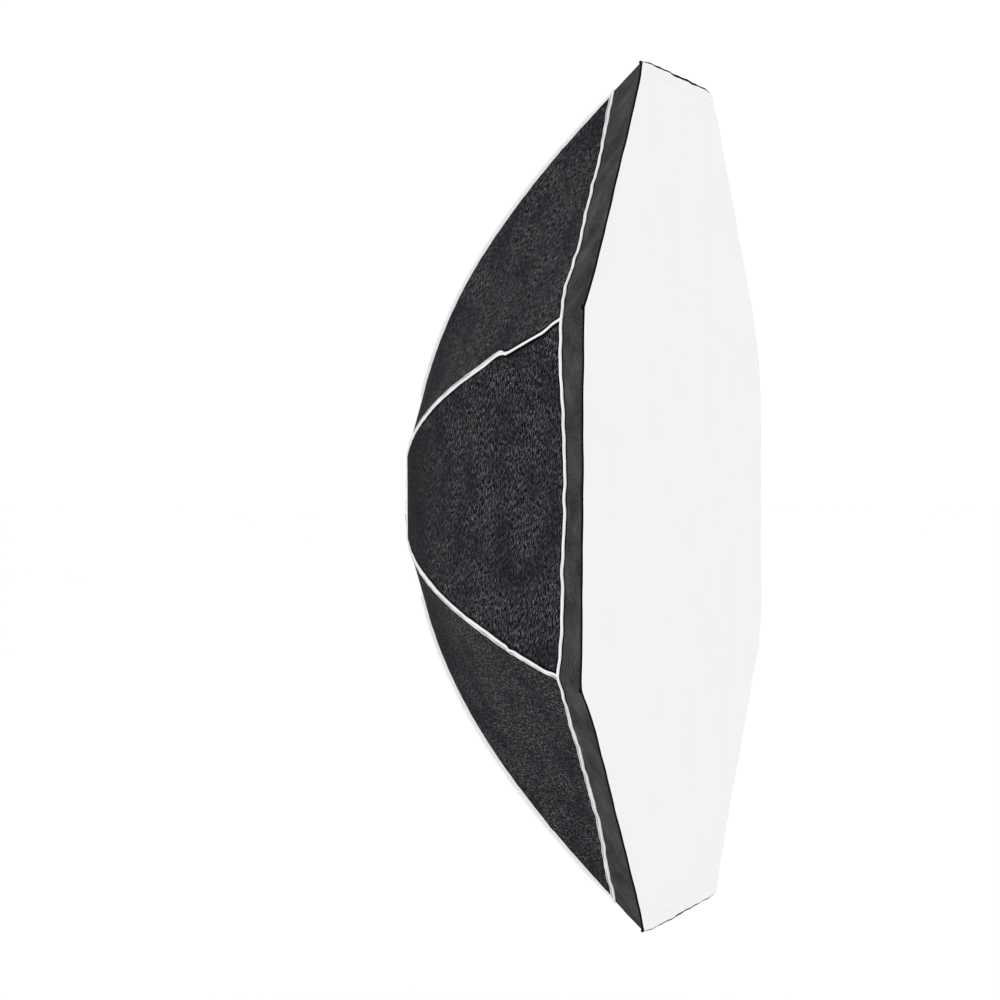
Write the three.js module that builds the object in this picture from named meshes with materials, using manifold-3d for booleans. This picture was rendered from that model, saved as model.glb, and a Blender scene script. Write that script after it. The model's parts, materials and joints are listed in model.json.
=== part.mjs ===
// Octagonal studio softbox: a rotating bayonet insert in a speedring, eight hinged ring sockets that carry
// flexible rods, and an eight-panel canopy with a lip band, a front diffuser and an inner baffle.
//
// Units are millimetres and degrees. The softbox is drawn lying on its optical axis (local +Z, the way the
// light leaves), and the last lines turn it so that +Z is up and the light leaves along -Y. The origin is the
// centre of the insert's rear face, where the flash head seats.
import * as THREE from 'three';
import { mergeVertices } from 'three/addons/utils/BufferGeometryUtils.js';
import Module from 'manifold-3d';

const wasm = await Module();
wasm.setup();

// ---- Driving dimensions ----
const SIDES = 8;
const HALF_STEP = 180 / SIDES;        // from a corner to the middle of a flat
const HEM_Z = 16;                     // the canopy's back hem, ahead of the insert's rear face
const HEM_RADIUS = 125;               // corner radius of the back hem
const RIB_LENGTH = 524;               // along a rib, from the back hem to the front rim
const RIB_START_SLOPE = 72.9;         // a rib's angle from the optical axis at the hem
const RIB_END_SLOPE = 43.8;           // and at the rim, after the rod's even bend
const LIP_SHARE = 0.8975;             // where along a rib the lip band is sewn on
const CLOTH = 1.2;                    // canopy cloth with its lining
const SEAM_GAP = 1.0;                 // half the room left for the piping between two panels

const INSERT_BORE = 57;
const INSERT_RADIUS = 70;
const INSERT_FLANGE = 76;
const INSERT_LENGTH = 42;
const LUG_RADIUS = 75;
const LUG_THICK = 4;
const LUG_COUNT = 3;
const LUG_ANGLE = 32;
const LUG_ROOT = 68;                  // a lug's inner edge, sunk into the insert's wall

const RING_RADIUS = 111;
const RING_REAR = 16.4;
const RING_FRONT = 36;
const RING_CHAMFER = 5;
const RING_SHOULDER = 19.2;           // rear shoulder that the insert's flange turns on
const FLANGE_Z = [19.5, 25.5];
const PLATE_RADIUS = 90;
const PLATE_THICK = 2;
const FIT = 0.3;                      // running clearance between parts that turn on each other

const PIVOT_RADIUS = 99;              // hinge of a ring socket
const PIVOT_Z = 26;
const SOCKET_RADIUS = 7;
const SOCKET_LENGTH = 43;
const SOCKET_BOTTOM = 14;             // where its bore starts, ahead of the hinge
const COLLAR_THICK = 1.2;
const COLLAR_LENGTH = 6;
const SLOT_WIDTH = 15;
const SLOT_FLOOR = 18.2;
const SLOT_INNER = 91;
const PIN_RADIUS = 2.5;
const PIN_LENGTH = 29;
const ROD_RADIUS = 3.5;
const ROD_FOOT = 16;                  // the rod's lower end, ahead of the hinge
const ROD_START_SHARE = 0.05;         // where a rod leaves its socket, as a share of the rib
const ROD_END_SHARE = 1 - 30 / RIB_LENGTH;
const ROD_START_INSET = 15;           // the rod's distance inside the cloth at its socket
const ROD_END_INSET = 12;             // and at its tip
const INSET_SETTLES = 0.4;            // the share by which the inset is the tip's
const POCKET_INNER = 5.2;
const POCKET_OUTER = 7.5;
const POCKET_HALF_WIDTH = 5.5;
const POCKET_MOUTH = [47, 72];        // the mouth's two sides, in degrees off the rod's way

const SCREW_CIRCLE = 84;
const SCREW_COUNT = 4;
const SCREW_RADIUS = 2;
const SCREW_HEAD_RADIUS = 3.5;
const SCREW_HEAD_HEIGHT = 3.2;
const SCREW_KEY_RADIUS = 1.7;
const SCREW_KEY_DEPTH = 2;

const KNOB_Z = 8;
const KNOB_RADIUS = 7.5;
const KNOB_SHANK_RADIUS = 3;
const KNOB_NECK_RADIUS = 4.5;
const KNOB_HEAD = [94, 105];          // the knob's head, from its neck to its flat end
const KNOB_NOTCHES = 6;
const NOTCH_RADIUS = 2;
const NOTCH_CIRCLE = 8.4;
const BOSS_REAR = 3;
const BOSS_OUTER = 92;
const BOSS_HALF_WIDTH = 9;

const DIFFUSER_INSET = 2;             // the diffuser's front face, behind the rim
const DIFFUSER_SHORT = 7.2;           // how far its corners stop short of the rim's
const DIFFUSER_THICK = 1.5;
const BAFFLE_Z = 190;
const BAFFLE_THICK = 1.2;
const BAFFLE_INSET = 26;              // the baffle's corner, inside the rod
const STRAP_WIDTH = 9;
const STRAP_THICK = 1.6;
const STRAP_GAP = 0.6;                // the gap from the strap's tongue to the baffle's corner

const SEGMENTS = 40;                  // round faces of the ring and the insert
const SMALL_SEGMENTS = 12;
const ROD_SEGMENTS = 8;

const rad = THREE.MathUtils.degToRad;

// ---- Materials ----
function matt(color, roughness, metalness = 0) {
  return new THREE.MeshStandardMaterial({ color, roughness, metalness });
}

const CANOPY = matt(0x232326, 0.9);
const LIP = matt(0x2b2b2c, 0.85);
const DIFFUSER = matt(0xf4f4f2, 0.8);
const BAFFLE = matt(0xeeeeec, 0.85);
const ELASTIC = matt(0x18181a, 0.9);
const CASTING = matt(0x26272a, 0.45, 0.6);
const INSERT = matt(0xa9abad, 0.35, 0.9);
const STEEL = matt(0xb8babd, 0.3, 1);
const MOULDED = matt(0x1c1c1e, 0.55);
const ROD = matt(0x2a2b2d, 0.35, 0.3);

// ---- Solids ----
// A closed mesh whose corners are shared, with its faces pointing out.
function closed(geometry) {
  geometry.deleteAttribute('normal');
  geometry.deleteAttribute('uv');
  const merged = mergeVertices(geometry, 1e-4);
  const index = Array.from(merged.index.array);
  if (volume(merged.attributes.position, index) < 0) {
    for (let i = 0; i < index.length; i += 3) {
      [index[i + 1], index[i + 2]] = [index[i + 2], index[i + 1]];
    }
  }
  merged.setIndex(index);
  return merged;
}

function volume(position, index) {
  const [a, b, c] = [new THREE.Vector3(), new THREE.Vector3(), new THREE.Vector3()];
  let sum = 0;
  for (let i = 0; i < index.length; i += 3) {
    a.fromBufferAttribute(position, index[i]);
    b.fromBufferAttribute(position, index[i + 1]);
    c.fromBufferAttribute(position, index[i + 2]);
    sum += a.dot(b.cross(c)) / 6;
  }
  return sum;
}

function toSolid(geometry) {
  const shell = closed(geometry);
  return new wasm.Manifold(new wasm.Mesh({
    numProp: 3,
    vertProperties: new Float32Array(shell.attributes.position.array),
    triVerts: new Uint32Array(shell.index.array),
  }));
}

function toGeometry(solid) {
  const mesh = solid.getMesh();
  const geometry = new THREE.BufferGeometry();
  geometry.setAttribute('position', new THREE.BufferAttribute(new Float32Array(mesh.vertProperties), 3));
  geometry.setIndex(Array.from(mesh.triVerts));
  return geometry;
}

const joined = (...solids) => solids.reduce((sum, next) => sum.add(next));
const cut = (solid, ...tools) => tools.reduce((left, tool) => left.subtract(tool), solid);

// Rings of points, all of one count, skinned one to the next. The ends are capped by fans, or meet.
function loft(rings, endless = false) {
  const count = rings[0].length;
  const index = [];
  const last = endless ? rings.length : rings.length - 1;
  for (let i = 0; i < last; i += 1) {
    const next = (i + 1) % rings.length;
    for (let j = 0; j < count; j += 1) {
      const k = (j + 1) % count;
      index.push(i * count + j, next * count + j, next * count + k);
      index.push(i * count + j, next * count + k, i * count + k);
    }
  }
  if (!endless) {
    const end = (rings.length - 1) * count;
    for (let j = 1; j < count - 1; j += 1) {
      index.push(0, j, j + 1);
      index.push(end, end + j + 1, end + j);
    }
  }
  const geometry = new THREE.BufferGeometry();
  geometry.setAttribute('position', new THREE.Float32BufferAttribute(rings.flat(2), 3));
  geometry.setIndex(index);
  return closed(geometry);
}

// A disc or tube along Z, from z0 to z1.
function barrel(radius, z0, z1, segments = SMALL_SEGMENTS) {
  const geometry = new THREE.CylinderGeometry(radius, radius, z1 - z0, segments);
  geometry.rotateX(Math.PI / 2);
  geometry.translate(0, 0, (z0 + z1) / 2);
  return geometry;
}

// A round bar along X, from x0 to x1.
function bar(radius, x0, x1, segments = SMALL_SEGMENTS) {
  const geometry = new THREE.CylinderGeometry(radius, radius, x1 - x0, segments);
  geometry.rotateZ(Math.PI / 2);
  geometry.translate((x0 + x1) / 2, 0, 0);
  return geometry;
}

// A round bar along Y, centred.
const crossBar = (radius, length) => new THREE.CylinderGeometry(radius, radius, length, SMALL_SEGMENTS);

function block(x0, x1, halfWidth, z0, z1) {
  const geometry = new THREE.BoxGeometry(x1 - x0, 2 * halfWidth, z1 - z0);
  geometry.translate((x0 + x1) / 2, 0, (z0 + z1) / 2);
  return geometry;
}

// A lathe turned about Z from a closed outline of [radius, z] points.
function turned(outline) {
  const points = [...outline, outline[0]].map(([r, z]) => new THREE.Vector2(r, z));
  const geometry = new THREE.LatheGeometry(points, SEGMENTS);
  geometry.rotateX(Math.PI / 2);
  return geometry;
}

function octagonPlate(cornerRadius, z0, z1) {
  const corners = Array.from({ length: SIDES }, (_, k) => {
    const angle = rad((2 * k + 1) * HALF_STEP);
    return new THREE.Vector2(cornerRadius * Math.cos(angle), cornerRadius * Math.sin(angle));
  });
  const depth = z1 - z0;
  const geometry = new THREE.ExtrudeGeometry(new THREE.Shape(corners), { depth, bevelEnabled: false });
  geometry.translate(0, 0, z0);
  return closed(geometry);
}

// ---- The rib curve ----
// A rod that is clamped at the ring and free at its tip bends less and less along its length: its slope from
// the optical axis falls as END + (START - END) * (1 - share) squared.
const ribSlope = (share) => rad(RIB_END_SLOPE + (RIB_START_SLOPE - RIB_END_SLOPE) * (1 - share) ** 2);

function ribPoint(share) {
  const steps = 64;
  const h = share / steps;
  let [r, z] = [HEM_RADIUS, HEM_Z];
  for (let i = 0; i < steps; i += 1) {
    const slope = ribSlope((i + 0.5) * h);
    r += RIB_LENGTH * h * Math.sin(slope);
    z += RIB_LENGTH * h * Math.cos(slope);
  }
  return { r, z };
}

// The middle of a rod: a point of the rib, set in from the cloth along the rib's normal.
function rodPoint(share) {
  const { r, z } = ribPoint(share);
  const slope = ribSlope(share);
  const inset = THREE.MathUtils.lerp(ROD_START_INSET, ROD_END_INSET, Math.min(1, share / INSET_SETTLES));
  return { r: r - inset * Math.cos(slope), z: z + inset * Math.sin(slope) };
}

// The cloth's outer and inner edge at a corner of the octagon, for panels of the stated thickness.
function clothCorner(share, thick) {
  const { r, z } = ribPoint(share);
  const slope = ribSlope(share);
  const flat = Math.cos(rad(HALF_STEP));
  const along = Math.hypot(Math.sin(slope) * flat, Math.cos(slope));
  return {
    r: r - (thick * Math.cos(slope)) / along / flat,
    z: z + (thick * Math.sin(slope) * flat) / along,
  };
}

// Evenly spaced shares of a rib, both ends included.
function shares(from, to, steps) {
  return Array.from({ length: steps + 1 }, (_, i) => from + ((to - from) * i) / steps);
}

const RIM = ribPoint(1);
const ROD_TIP = rodPoint(ROD_END_SHARE);
const ROD_TIP_SLOPE = (180 / Math.PI) * ribSlope(ROD_END_SHARE);
const ROD_MOUTH = rodPoint(ROD_START_SHARE);
const SOCKET_TILT = Math.atan2(ROD_MOUTH.z - PIVOT_Z, ROD_MOUTH.r - PIVOT_RADIUS);

// ---- Soft parts ----
// One panel, flat across and bent along the ribs. Local X is the middle of the flat, Y runs across.
function gore() {
  const rings = shares(0, LIP_SHARE - 0.003, 16).map((share) => {
    const flat = Math.cos(rad(HALF_STEP));
    const outer = clothCorner(share, 0);
    const inner = clothCorner(share, CLOTH);
    const half = outer.r * Math.sin(rad(HALF_STEP)) - SEAM_GAP;
    const [xo, xi] = [outer.r * flat, inner.r * flat];
    return [[xo, -half, outer.z], [xo, half, outer.z], [xi, half, inner.z], [xi, -half, inner.z]];
  });
  return loft(rings);
}

// The band in front of the last seam: its section is turned round the eight corners, mitred at each.
function lipBand() {
  const along = shares(LIP_SHARE, 1, 3);
  const outside = along.map((share) => clothCorner(share, 0));
  const inside = along.map((share) => clothCorner(share, CLOTH));
  const section = [...outside, ...inside.reverse()];
  const rings = Array.from({ length: SIDES }, (_, k) => {
    const angle = rad((2 * k + 1) * HALF_STEP);
    return section.map(({ r, z }) => [r * Math.cos(angle), r * Math.sin(angle), z]);
  });
  return loft(rings, true);
}

function frontDiffuser() {
  const front = RIM.z - DIFFUSER_INSET;
  return octagonPlate(RIM.r - DIFFUSER_SHORT, front - DIFFUSER_THICK, front);
}

const BAFFLE_SHARE = shares(0, 1, 200).find((share) => rodPoint(share).z > BAFFLE_Z);
const BAFFLE_ROD = rodPoint(BAFFLE_SHARE);
const BAFFLE_RADIUS = BAFFLE_ROD.r - BAFFLE_INSET;
function innerBaffle() {
  return octagonPlate(BAFFLE_RADIUS, BAFFLE_Z - BAFFLE_THICK / 2, BAFFLE_Z + BAFFLE_THICK / 2);
}

// A loop of elastic round the rod, with a tongue that runs in to the baffle's corner.
function baffleStrap() {
  const tilt = Math.PI / 2 - ribSlope(BAFFLE_SHARE);
  const along = (geometry) => geometry.rotateY(-tilt).translate(BAFFLE_ROD.r, 0, BAFFLE_ROD.z);
  const inside = ROD_RADIUS + 1.5 * FIT;
  const loop = toSolid(along(bar(inside + STRAP_THICK, -STRAP_WIDTH / 2, STRAP_WIDTH / 2)));
  const hole = toSolid(along(bar(inside, -STRAP_WIDTH, STRAP_WIDTH)));
  const [from, to] = [BAFFLE_RADIUS + STRAP_GAP, BAFFLE_ROD.r - ROD_RADIUS];
  const half = STRAP_THICK / 2;
  const tongue = toSolid(block(from, to, STRAP_WIDTH / 2, BAFFLE_ROD.z - half, BAFFLE_ROD.z + half));
  return toGeometry(cut(joined(loop, tongue), hole));
}

// ---- Rods and their fittings, drawn with local X outwards, Y across and Z forwards ----
// From the bottom of the socket straight to its mouth, then along the inset rib to the tip.
class RodPath extends THREE.Curve {
  constructor() {
    super();
    const start = new THREE.Vector3(
      PIVOT_RADIUS + ROD_FOOT * Math.cos(SOCKET_TILT), 0, PIVOT_Z + ROD_FOOT * Math.sin(SOCKET_TILT));
    this.start = start;
    this.mouth = new THREE.Vector3(ROD_MOUTH.r, 0, ROD_MOUTH.z);
    this.straight = start.distanceTo(this.mouth) / (start.distanceTo(this.mouth) + RIB_LENGTH);
  }

  getPoint(t, target = new THREE.Vector3()) {
    if (t < this.straight) {
      return target.lerpVectors(this.start, this.mouth, t / this.straight);
    }
    const bent = (t - this.straight) / (1 - this.straight);
    const { r, z } = rodPoint(THREE.MathUtils.lerp(ROD_START_SHARE, ROD_END_SHARE, bent));
    return target.set(r, 0, z);
  }
}

function rod() {
  const corners = Array.from({ length: ROD_SEGMENTS }, (_, k) => {
    const angle = (2 * Math.PI * k) / ROD_SEGMENTS;
    return new THREE.Vector2(ROD_RADIUS * Math.cos(angle), ROD_RADIUS * Math.sin(angle));
  });
  const extrudePath = new RodPath();
  return closed(new THREE.ExtrudeGeometry(new THREE.Shape(corners), { steps: 16, extrudePath }));
}

function socket() {
  const heel = toSolid(crossBar(SOCKET_RADIUS, 2 * SOCKET_RADIUS));
  const sleeve = toSolid(bar(SOCKET_RADIUS, 0, SOCKET_LENGTH));
  const collar = toSolid(bar(SOCKET_RADIUS + COLLAR_THICK, SOCKET_LENGTH - COLLAR_LENGTH, SOCKET_LENGTH));
  const bore = toSolid(bar(ROD_RADIUS + 2 * FIT, SOCKET_BOTTOM, SOCKET_LENGTH + 1, 16));
  const pinHole = toSolid(crossBar(PIN_RADIUS + FIT, 3 * SOCKET_RADIUS));
  const geometry = toGeometry(cut(joined(heel, sleeve, collar), bore, pinHole));
  return geometry.rotateY(-SOCKET_TILT).translate(PIVOT_RADIUS, 0, PIVOT_Z);
}

const hingePin = () => closed(crossBar(PIN_RADIUS, PIN_LENGTH).translate(PIVOT_RADIUS, 0, PIVOT_Z));

// A hooked cap that turns round the rod's tip: an open ring, with its mouth towards the rod.
function cornerPocket() {
  const rodWay = 270 - ROD_TIP_SLOPE;
  const [from, to] = [rodWay + POCKET_MOUTH[0], rodWay - POCKET_MOUTH[1] + 360].map(rad);
  const ring = new THREE.Shape().absarc(0, 0, POCKET_OUTER, from, to, false);
  ring.absarc(0, 0, POCKET_INNER, to, from, true);
  const depth = 2 * POCKET_HALF_WIDTH;
  const geometry = new THREE.ExtrudeGeometry(ring, { depth, bevelEnabled: false, curveSegments: 8 });
  geometry.translate(0, 0, -POCKET_HALF_WIDTH);
  geometry.rotateX(Math.PI / 2);
  geometry.translate(ROD_TIP.r, 0, ROD_TIP.z);
  return closed(geometry);
}

// ---- Speedring ----
const atAngle = (geometry, degrees) => geometry.rotateZ(rad(degrees));

function ringBody() {
  const annulus = toSolid(turned([
    [INSERT_RADIUS + FIT, RING_REAR], [RING_RADIUS, RING_REAR], [RING_RADIUS, RING_FRONT - RING_CHAMFER],
    [RING_RADIUS - RING_CHAMFER, RING_FRONT], [INSERT_FLANGE + FIT, RING_FRONT],
    [INSERT_FLANGE + FIT, RING_SHOULDER],
    [INSERT_RADIUS + FIT, RING_SHOULDER],
  ]));
  const tools = [];
  for (let k = 0; k < SIDES; k += 1) {
    const angle = (2 * k + 1) * HALF_STEP;
    const [outside, above] = [RING_RADIUS + 10, RING_FRONT + 5];
    tools.push(toSolid(atAngle(block(SLOT_INNER, outside, SLOT_WIDTH / 2, SLOT_FLOOR, above), angle)));
    const hole = crossBar(PIN_RADIUS + FIT, PIN_LENGTH + 2 * FIT).translate(PIVOT_RADIUS, 0, PIVOT_Z);
    tools.push(toSolid(atAngle(hole, angle)));
  }
  for (let k = 0; k < SCREW_COUNT; k += 1) {
    const hole = barrel(SCREW_RADIUS + FIT, RING_REAR + 4, RING_FRONT + 1).translate(SCREW_CIRCLE, 0, 0);
    tools.push(toSolid(atAngle(hole, (360 / SCREW_COUNT) * k)));
  }
  const boss = toSolid(block(INSERT_FLANGE + FIT, BOSS_OUTER, BOSS_HALF_WIDTH, BOSS_REAR, RING_REAR + 1));
  const thread = toSolid(bar(KNOB_SHANK_RADIUS + FIT, INSERT_RADIUS, BOSS_OUTER + 1).translate(0, 0, KNOB_Z));
  return toGeometry(cut(joined(annulus, boss), thread, ...tools));
}

// The plate that holds the insert's flange in the ring: its inner lip stops just ahead of the flange.
function retainingRing() {
  const [inner, lip] = [INSERT_RADIUS + 2 * FIT, INSERT_FLANGE];
  const [bottom, seat] = [FLANGE_Z[1] + FIT, RING_FRONT + FIT];
  const plate = toSolid(turned([
    [inner, bottom], [lip, bottom], [lip, seat], [PLATE_RADIUS, seat],
    [PLATE_RADIUS, seat + PLATE_THICK], [inner, seat + PLATE_THICK],
  ]));
  const holes = Array.from({ length: SCREW_COUNT }, (_, k) => {
    const hole = barrel(SCREW_RADIUS + FIT, RING_FRONT - 1, seat + PLATE_THICK + 1);
    return toSolid(atAngle(hole.translate(SCREW_CIRCLE, 0, 0), (360 / SCREW_COUNT) * k));
  });
  return toGeometry(cut(plate, ...holes));
}

function screw() {
  const seat = RING_FRONT + 2 * FIT + PLATE_THICK;
  const top = seat + SCREW_HEAD_HEIGHT;
  const shank = toSolid(barrel(SCREW_RADIUS, RING_REAR + 5, seat + 1));
  const head = toSolid(barrel(SCREW_HEAD_RADIUS, seat, top));
  const key = toSolid(barrel(SCREW_KEY_RADIUS, top - SCREW_KEY_DEPTH, top + 1, 6));
  return toGeometry(cut(joined(shank, head), key).translate(SCREW_CIRCLE, 0, 0));
}

function mountInsert() {
  const tube = toSolid(turned([
    [INSERT_BORE, 0], [INSERT_RADIUS, 0], [INSERT_RADIUS, FLANGE_Z[0]], [INSERT_FLANGE, FLANGE_Z[0]],
    [INSERT_FLANGE, FLANGE_Z[1]], [INSERT_RADIUS, FLANGE_Z[1]], [INSERT_RADIUS, INSERT_LENGTH],
    [INSERT_BORE, INSERT_LENGTH],
  ]));
  const lugs = Array.from({ length: LUG_COUNT }, (_, k) => {
    const middle = 90 + (360 / LUG_COUNT) * k;
    const [from, to] = [rad(middle - LUG_ANGLE / 2), rad(middle + LUG_ANGLE / 2)];
    const sector = new THREE.Shape().absarc(0, 0, LUG_RADIUS, from, to, false);
    sector.absarc(0, 0, LUG_ROOT, to, from, true);
    const extrusion = { depth: LUG_THICK, bevelEnabled: false, curveSegments: 6 };
    return toSolid(new THREE.ExtrudeGeometry(sector, extrusion));
  });
  return toGeometry(joined(tube, ...lugs));
}

// A thumb screw, backed off so that the lugs and the flange of a turning insert pass its tip, with grip
// notches round its head.
function lockKnob() {
  const [inner, outer] = KNOB_HEAD;
  const shank = toSolid(bar(KNOB_SHANK_RADIUS, INSERT_FLANGE + 2 * FIT, inner + 3));
  const head = toSolid(bar(KNOB_RADIUS, inner, outer, 24));
  const neck = toSolid(bar(KNOB_NECK_RADIUS, BOSS_OUTER + FIT, inner + 1));
  const notches = Array.from({ length: KNOB_NOTCHES }, (_, k) => {
    const angle = rad((360 / KNOB_NOTCHES) * k);
    const [y, z] = [NOTCH_CIRCLE * Math.cos(angle), NOTCH_CIRCLE * Math.sin(angle)];
    return toSolid(bar(NOTCH_RADIUS, inner - 1, outer + 1, 10).translate(0, y, z));
  });
  return toGeometry(cut(joined(shank, head, neck), ...notches).translate(0, 0, KNOB_Z));
}

// ---- Assembly ----
const softbox = new THREE.Group();

function add(name, geometry, material, degrees = 0) {
  const mesh = new THREE.Mesh(geometry, material);
  mesh.name = name;
  mesh.rotation.z = rad(degrees);
  softbox.add(mesh);
}

add('mount_insert', mountInsert(), INSERT);
add('speedring_body', ringBody(), CASTING);
add('retaining_ring', retainingRing(), CASTING);
add('lock_knob', lockKnob(), MOULDED);
for (let k = 1; k <= SCREW_COUNT; k += 1) {
  add(`retaining_screw_${k}`, screw(), STEEL, (360 / SCREW_COUNT) * (k - 1));
}
for (let k = 1; k <= SIDES; k += 1) {
  const corner = (2 * k - 1) * HALF_STEP;
  const middle = 2 * k * HALF_STEP;
  add(`ring_socket_${k}`, socket(), MOULDED, corner);
  add(`hinge_pin_${k}`, hingePin(), STEEL, corner);
  add(`rod_${k}`, rod(), ROD, corner);
  add(`corner_pocket_${k}`, cornerPocket(), MOULDED, corner);
  add(`baffle_strap_${k}`, baffleStrap(), ELASTIC, corner);
  add(`canopy_panel_${k}`, gore(), CANOPY, middle);
}
add('lip_band', lipBand(), LIP);
add('front_diffuser', frontDiffuser(), DIFFUSER);
add('inner_baffle', innerBaffle(), BAFFLE);

softbox.rotation.x = Math.PI / 2;

export default softbox;
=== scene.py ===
"""Studio softbox: an octagonal black canopy on eight bent rods, with light grey piping, a lip band and
a white front diffuser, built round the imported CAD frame.

World frame, metres: +Z up, the light leaves along -Y. Most shapes are worked out with a radius from the
optical axis, a depth ahead of the insert's rear face, and an azimuth from +X towards +Z."""

import json
import math

import bmesh
import bpy
import numpy as np
from mathutils import Matrix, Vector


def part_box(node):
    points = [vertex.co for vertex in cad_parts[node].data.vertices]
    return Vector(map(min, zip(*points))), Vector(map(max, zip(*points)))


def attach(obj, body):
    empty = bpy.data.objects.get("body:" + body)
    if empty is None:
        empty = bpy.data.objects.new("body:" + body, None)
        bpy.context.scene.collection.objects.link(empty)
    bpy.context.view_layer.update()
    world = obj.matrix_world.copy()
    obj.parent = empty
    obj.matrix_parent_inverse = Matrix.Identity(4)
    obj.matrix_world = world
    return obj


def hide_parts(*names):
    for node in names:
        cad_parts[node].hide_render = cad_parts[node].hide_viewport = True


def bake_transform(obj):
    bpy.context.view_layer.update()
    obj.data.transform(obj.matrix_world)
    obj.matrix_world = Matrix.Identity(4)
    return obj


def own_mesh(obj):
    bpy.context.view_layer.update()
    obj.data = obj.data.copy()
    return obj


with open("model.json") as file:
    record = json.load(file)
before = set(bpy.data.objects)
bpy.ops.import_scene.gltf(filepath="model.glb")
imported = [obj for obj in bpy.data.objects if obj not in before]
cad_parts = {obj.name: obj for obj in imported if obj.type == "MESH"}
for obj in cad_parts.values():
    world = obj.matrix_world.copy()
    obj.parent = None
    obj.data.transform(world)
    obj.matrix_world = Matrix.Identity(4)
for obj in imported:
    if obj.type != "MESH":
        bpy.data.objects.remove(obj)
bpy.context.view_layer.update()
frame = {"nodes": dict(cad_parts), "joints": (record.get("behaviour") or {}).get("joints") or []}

# ---- The canopy's driving dimensions, as the CAD model has them ----
SIDES = 8
HALF_STEP = math.pi / SIDES
MM = 0.001
HEM_DEPTH = -max(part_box(f"canopy_panel_{k}")[1].y for k in range(1, SIDES + 1))
HEM_RADIUS = 125 * MM
RIB_LENGTH = 524 * MM
RIB_START_SLOPE = math.radians(72.9)
RIB_END_SLOPE = math.radians(43.8)
LIP_SHARE = 0.8975
CLOTH = 1.2 * MM

# ---- How the cloth is split to fold: a strip stays on each rod, and the rest tucks in behind ----
STRIP_AT_HEM = 45.5 * MM
STRIP_GAINS = 16.5 * MM
STRIP_LOSES = 9 * MM
BETWEEN_PIECES = 0.04 * MM
BLEND_SHARE = 0.13

# ---- Hand sewing: how far seams stray, one value for each corner or panel, counted from the first ----
LIP_AT_CORNER = MM * np.array([2, -3, 0, 9, 0, -2, 3, -4])
LIP_BOW = MM * np.array([4, 5, -2, 7, -3, 5, -2, 4])
RIM_TUCK = MM * np.array([-5, -4, -1, 0, -7, -2, -1, -2])
RIM_BOW = MM * np.array([-3, 2, 5, -4, 1, 1, -3, 2])
RIM_TILT = MM * np.array([0, 0, 0, 3, 0, 0, 0, 0])
TUCK_REACH = 32 * MM
LIP_WAVER = 0.9 * MM
RIM_WAVER = 0.8 * MM
HEM_SHOWS = MM * np.array([0.8, 2.8, 1.0, 0.8, 1.0, 2.0, 1.7, 0.8])
KINK_SHARE = np.array([0.74, 0.61, 0.71, 0.675, 0.69, 0.66, 0.58, 0.72])
KINK_BEFORE = MM * np.array([1.5, -1.0, -1.5, -2.4, 1.6, 1.5, -2.0, 1.0])
KINK_AFTER = MM * np.array([-2.5, 3.0, 2.0, 4.6, 2.4, -2.0, 3.0, -2.5])
NARROW_AFTER = np.array([0.8, 0.6, 0.9, 0.45, 0.86, 0.9, 0.6, 0.8])
LIP_TAPE_START = MM * np.array([5.0, 6.0, 6.6, 4.4, 4.4, 7.2, 5.0, 6.0])
LIP_TAPE_END = MM * np.array([6.0, 6.6, 4.4, 4.4, 7.2, 5.0, 6.0, 5.0])

# ---- How far the cloth stands out of its flat panels ----
DRAWN_IN = 8 * MM
SEAM_PUCKER = 0.9 * MM
SOFT_WAVES = 1.6 * MM
LIP_SLACK = 1.3 * MM
POCKET_RISE = 2.4 * MM
STITCH_GROOVE = 0.8 * MM
GROOVE_FROM_SEAM = 4.5 * MM
GROOVE_WIDTH = 2 * MM

# ---- Piping and hems ----
PIPING_WIDTH = 6.8 * MM
PIPING_HEIGHT = 1.6 * MM
PIPING_SINKS = 1.0 * MM
PIPING_UNDERSIDE = 0.02 * MM
PIPING_TUCK = 4.5 * MM
PIPING_OVERLAP = 0.7 * MM
WELT_STANDS = MM * np.array([1.6, 2.4, 3.4, 0, 0, 3.4, 2.4, 1.6])
# How much of the piping's painted fold shade shows where a welt stands up under it
WELT_FOLD_SHADE = 0.55
HEM_ROLL = 1.2 * MM
RIM_HEM_SHOWS = 0.9 * MM
FRONT_OF_HEM = 1.1 * MM
TACK_REACH = 3.2 * MM
TACK_THICK = 1.5 * MM
TACK_DEEP = 1.3 * MM
TACK_BEHIND = 2.2 * MM

# ---- Diffuser and baffle ----
SHEET_THICK = 0.8 * MM
DIFFUSER_BULGE = 2 * MM
BAFFLE_BULGE = 3 * MM
BAFFLE_FORWARD = 0.4 * MM
CORNER_FOLDS = 0.6 * MM
STITCHED_IN = 12 * MM

# ---- Rods and the turned insert ----
ROD_RADIUS = 3.5 * MM
ROD_IN_SOCKET = 3.2 * MM
ROD_TIP = 2.2 * MM
ROD_STARTS = 0.05
ROD_STOPS_SHORT = 30 * MM
ROD_LEAVES_PIVOT = 16 * MM
ROD_INSET = 15 * MM
ROD_NEARS_RIB = 3 * MM
INSERT_BORE = 57 * MM
INSERT_WALL = 70 * MM
INSERT_RIM = 76 * MM
INSERT_FLANGE = (19.5 * MM, 25.5 * MM)
INSERT_CHAMFER = 0.7 * MM
LUGS = 3
LUG_FROM = 68 * MM
LUG_TO = 75 * MM
LUG_THICK = 4 * MM
LUG_CHAMFER = 0.6 * MM
LUG_FORWARD = 0.02 * MM
LUG_HALF_TURN = math.radians(16)
CLOTH_SHARP = math.radians(38)
TAPE_SHARP = math.radians(60)
CHAMFER_SHARP = math.radians(30)

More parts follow.
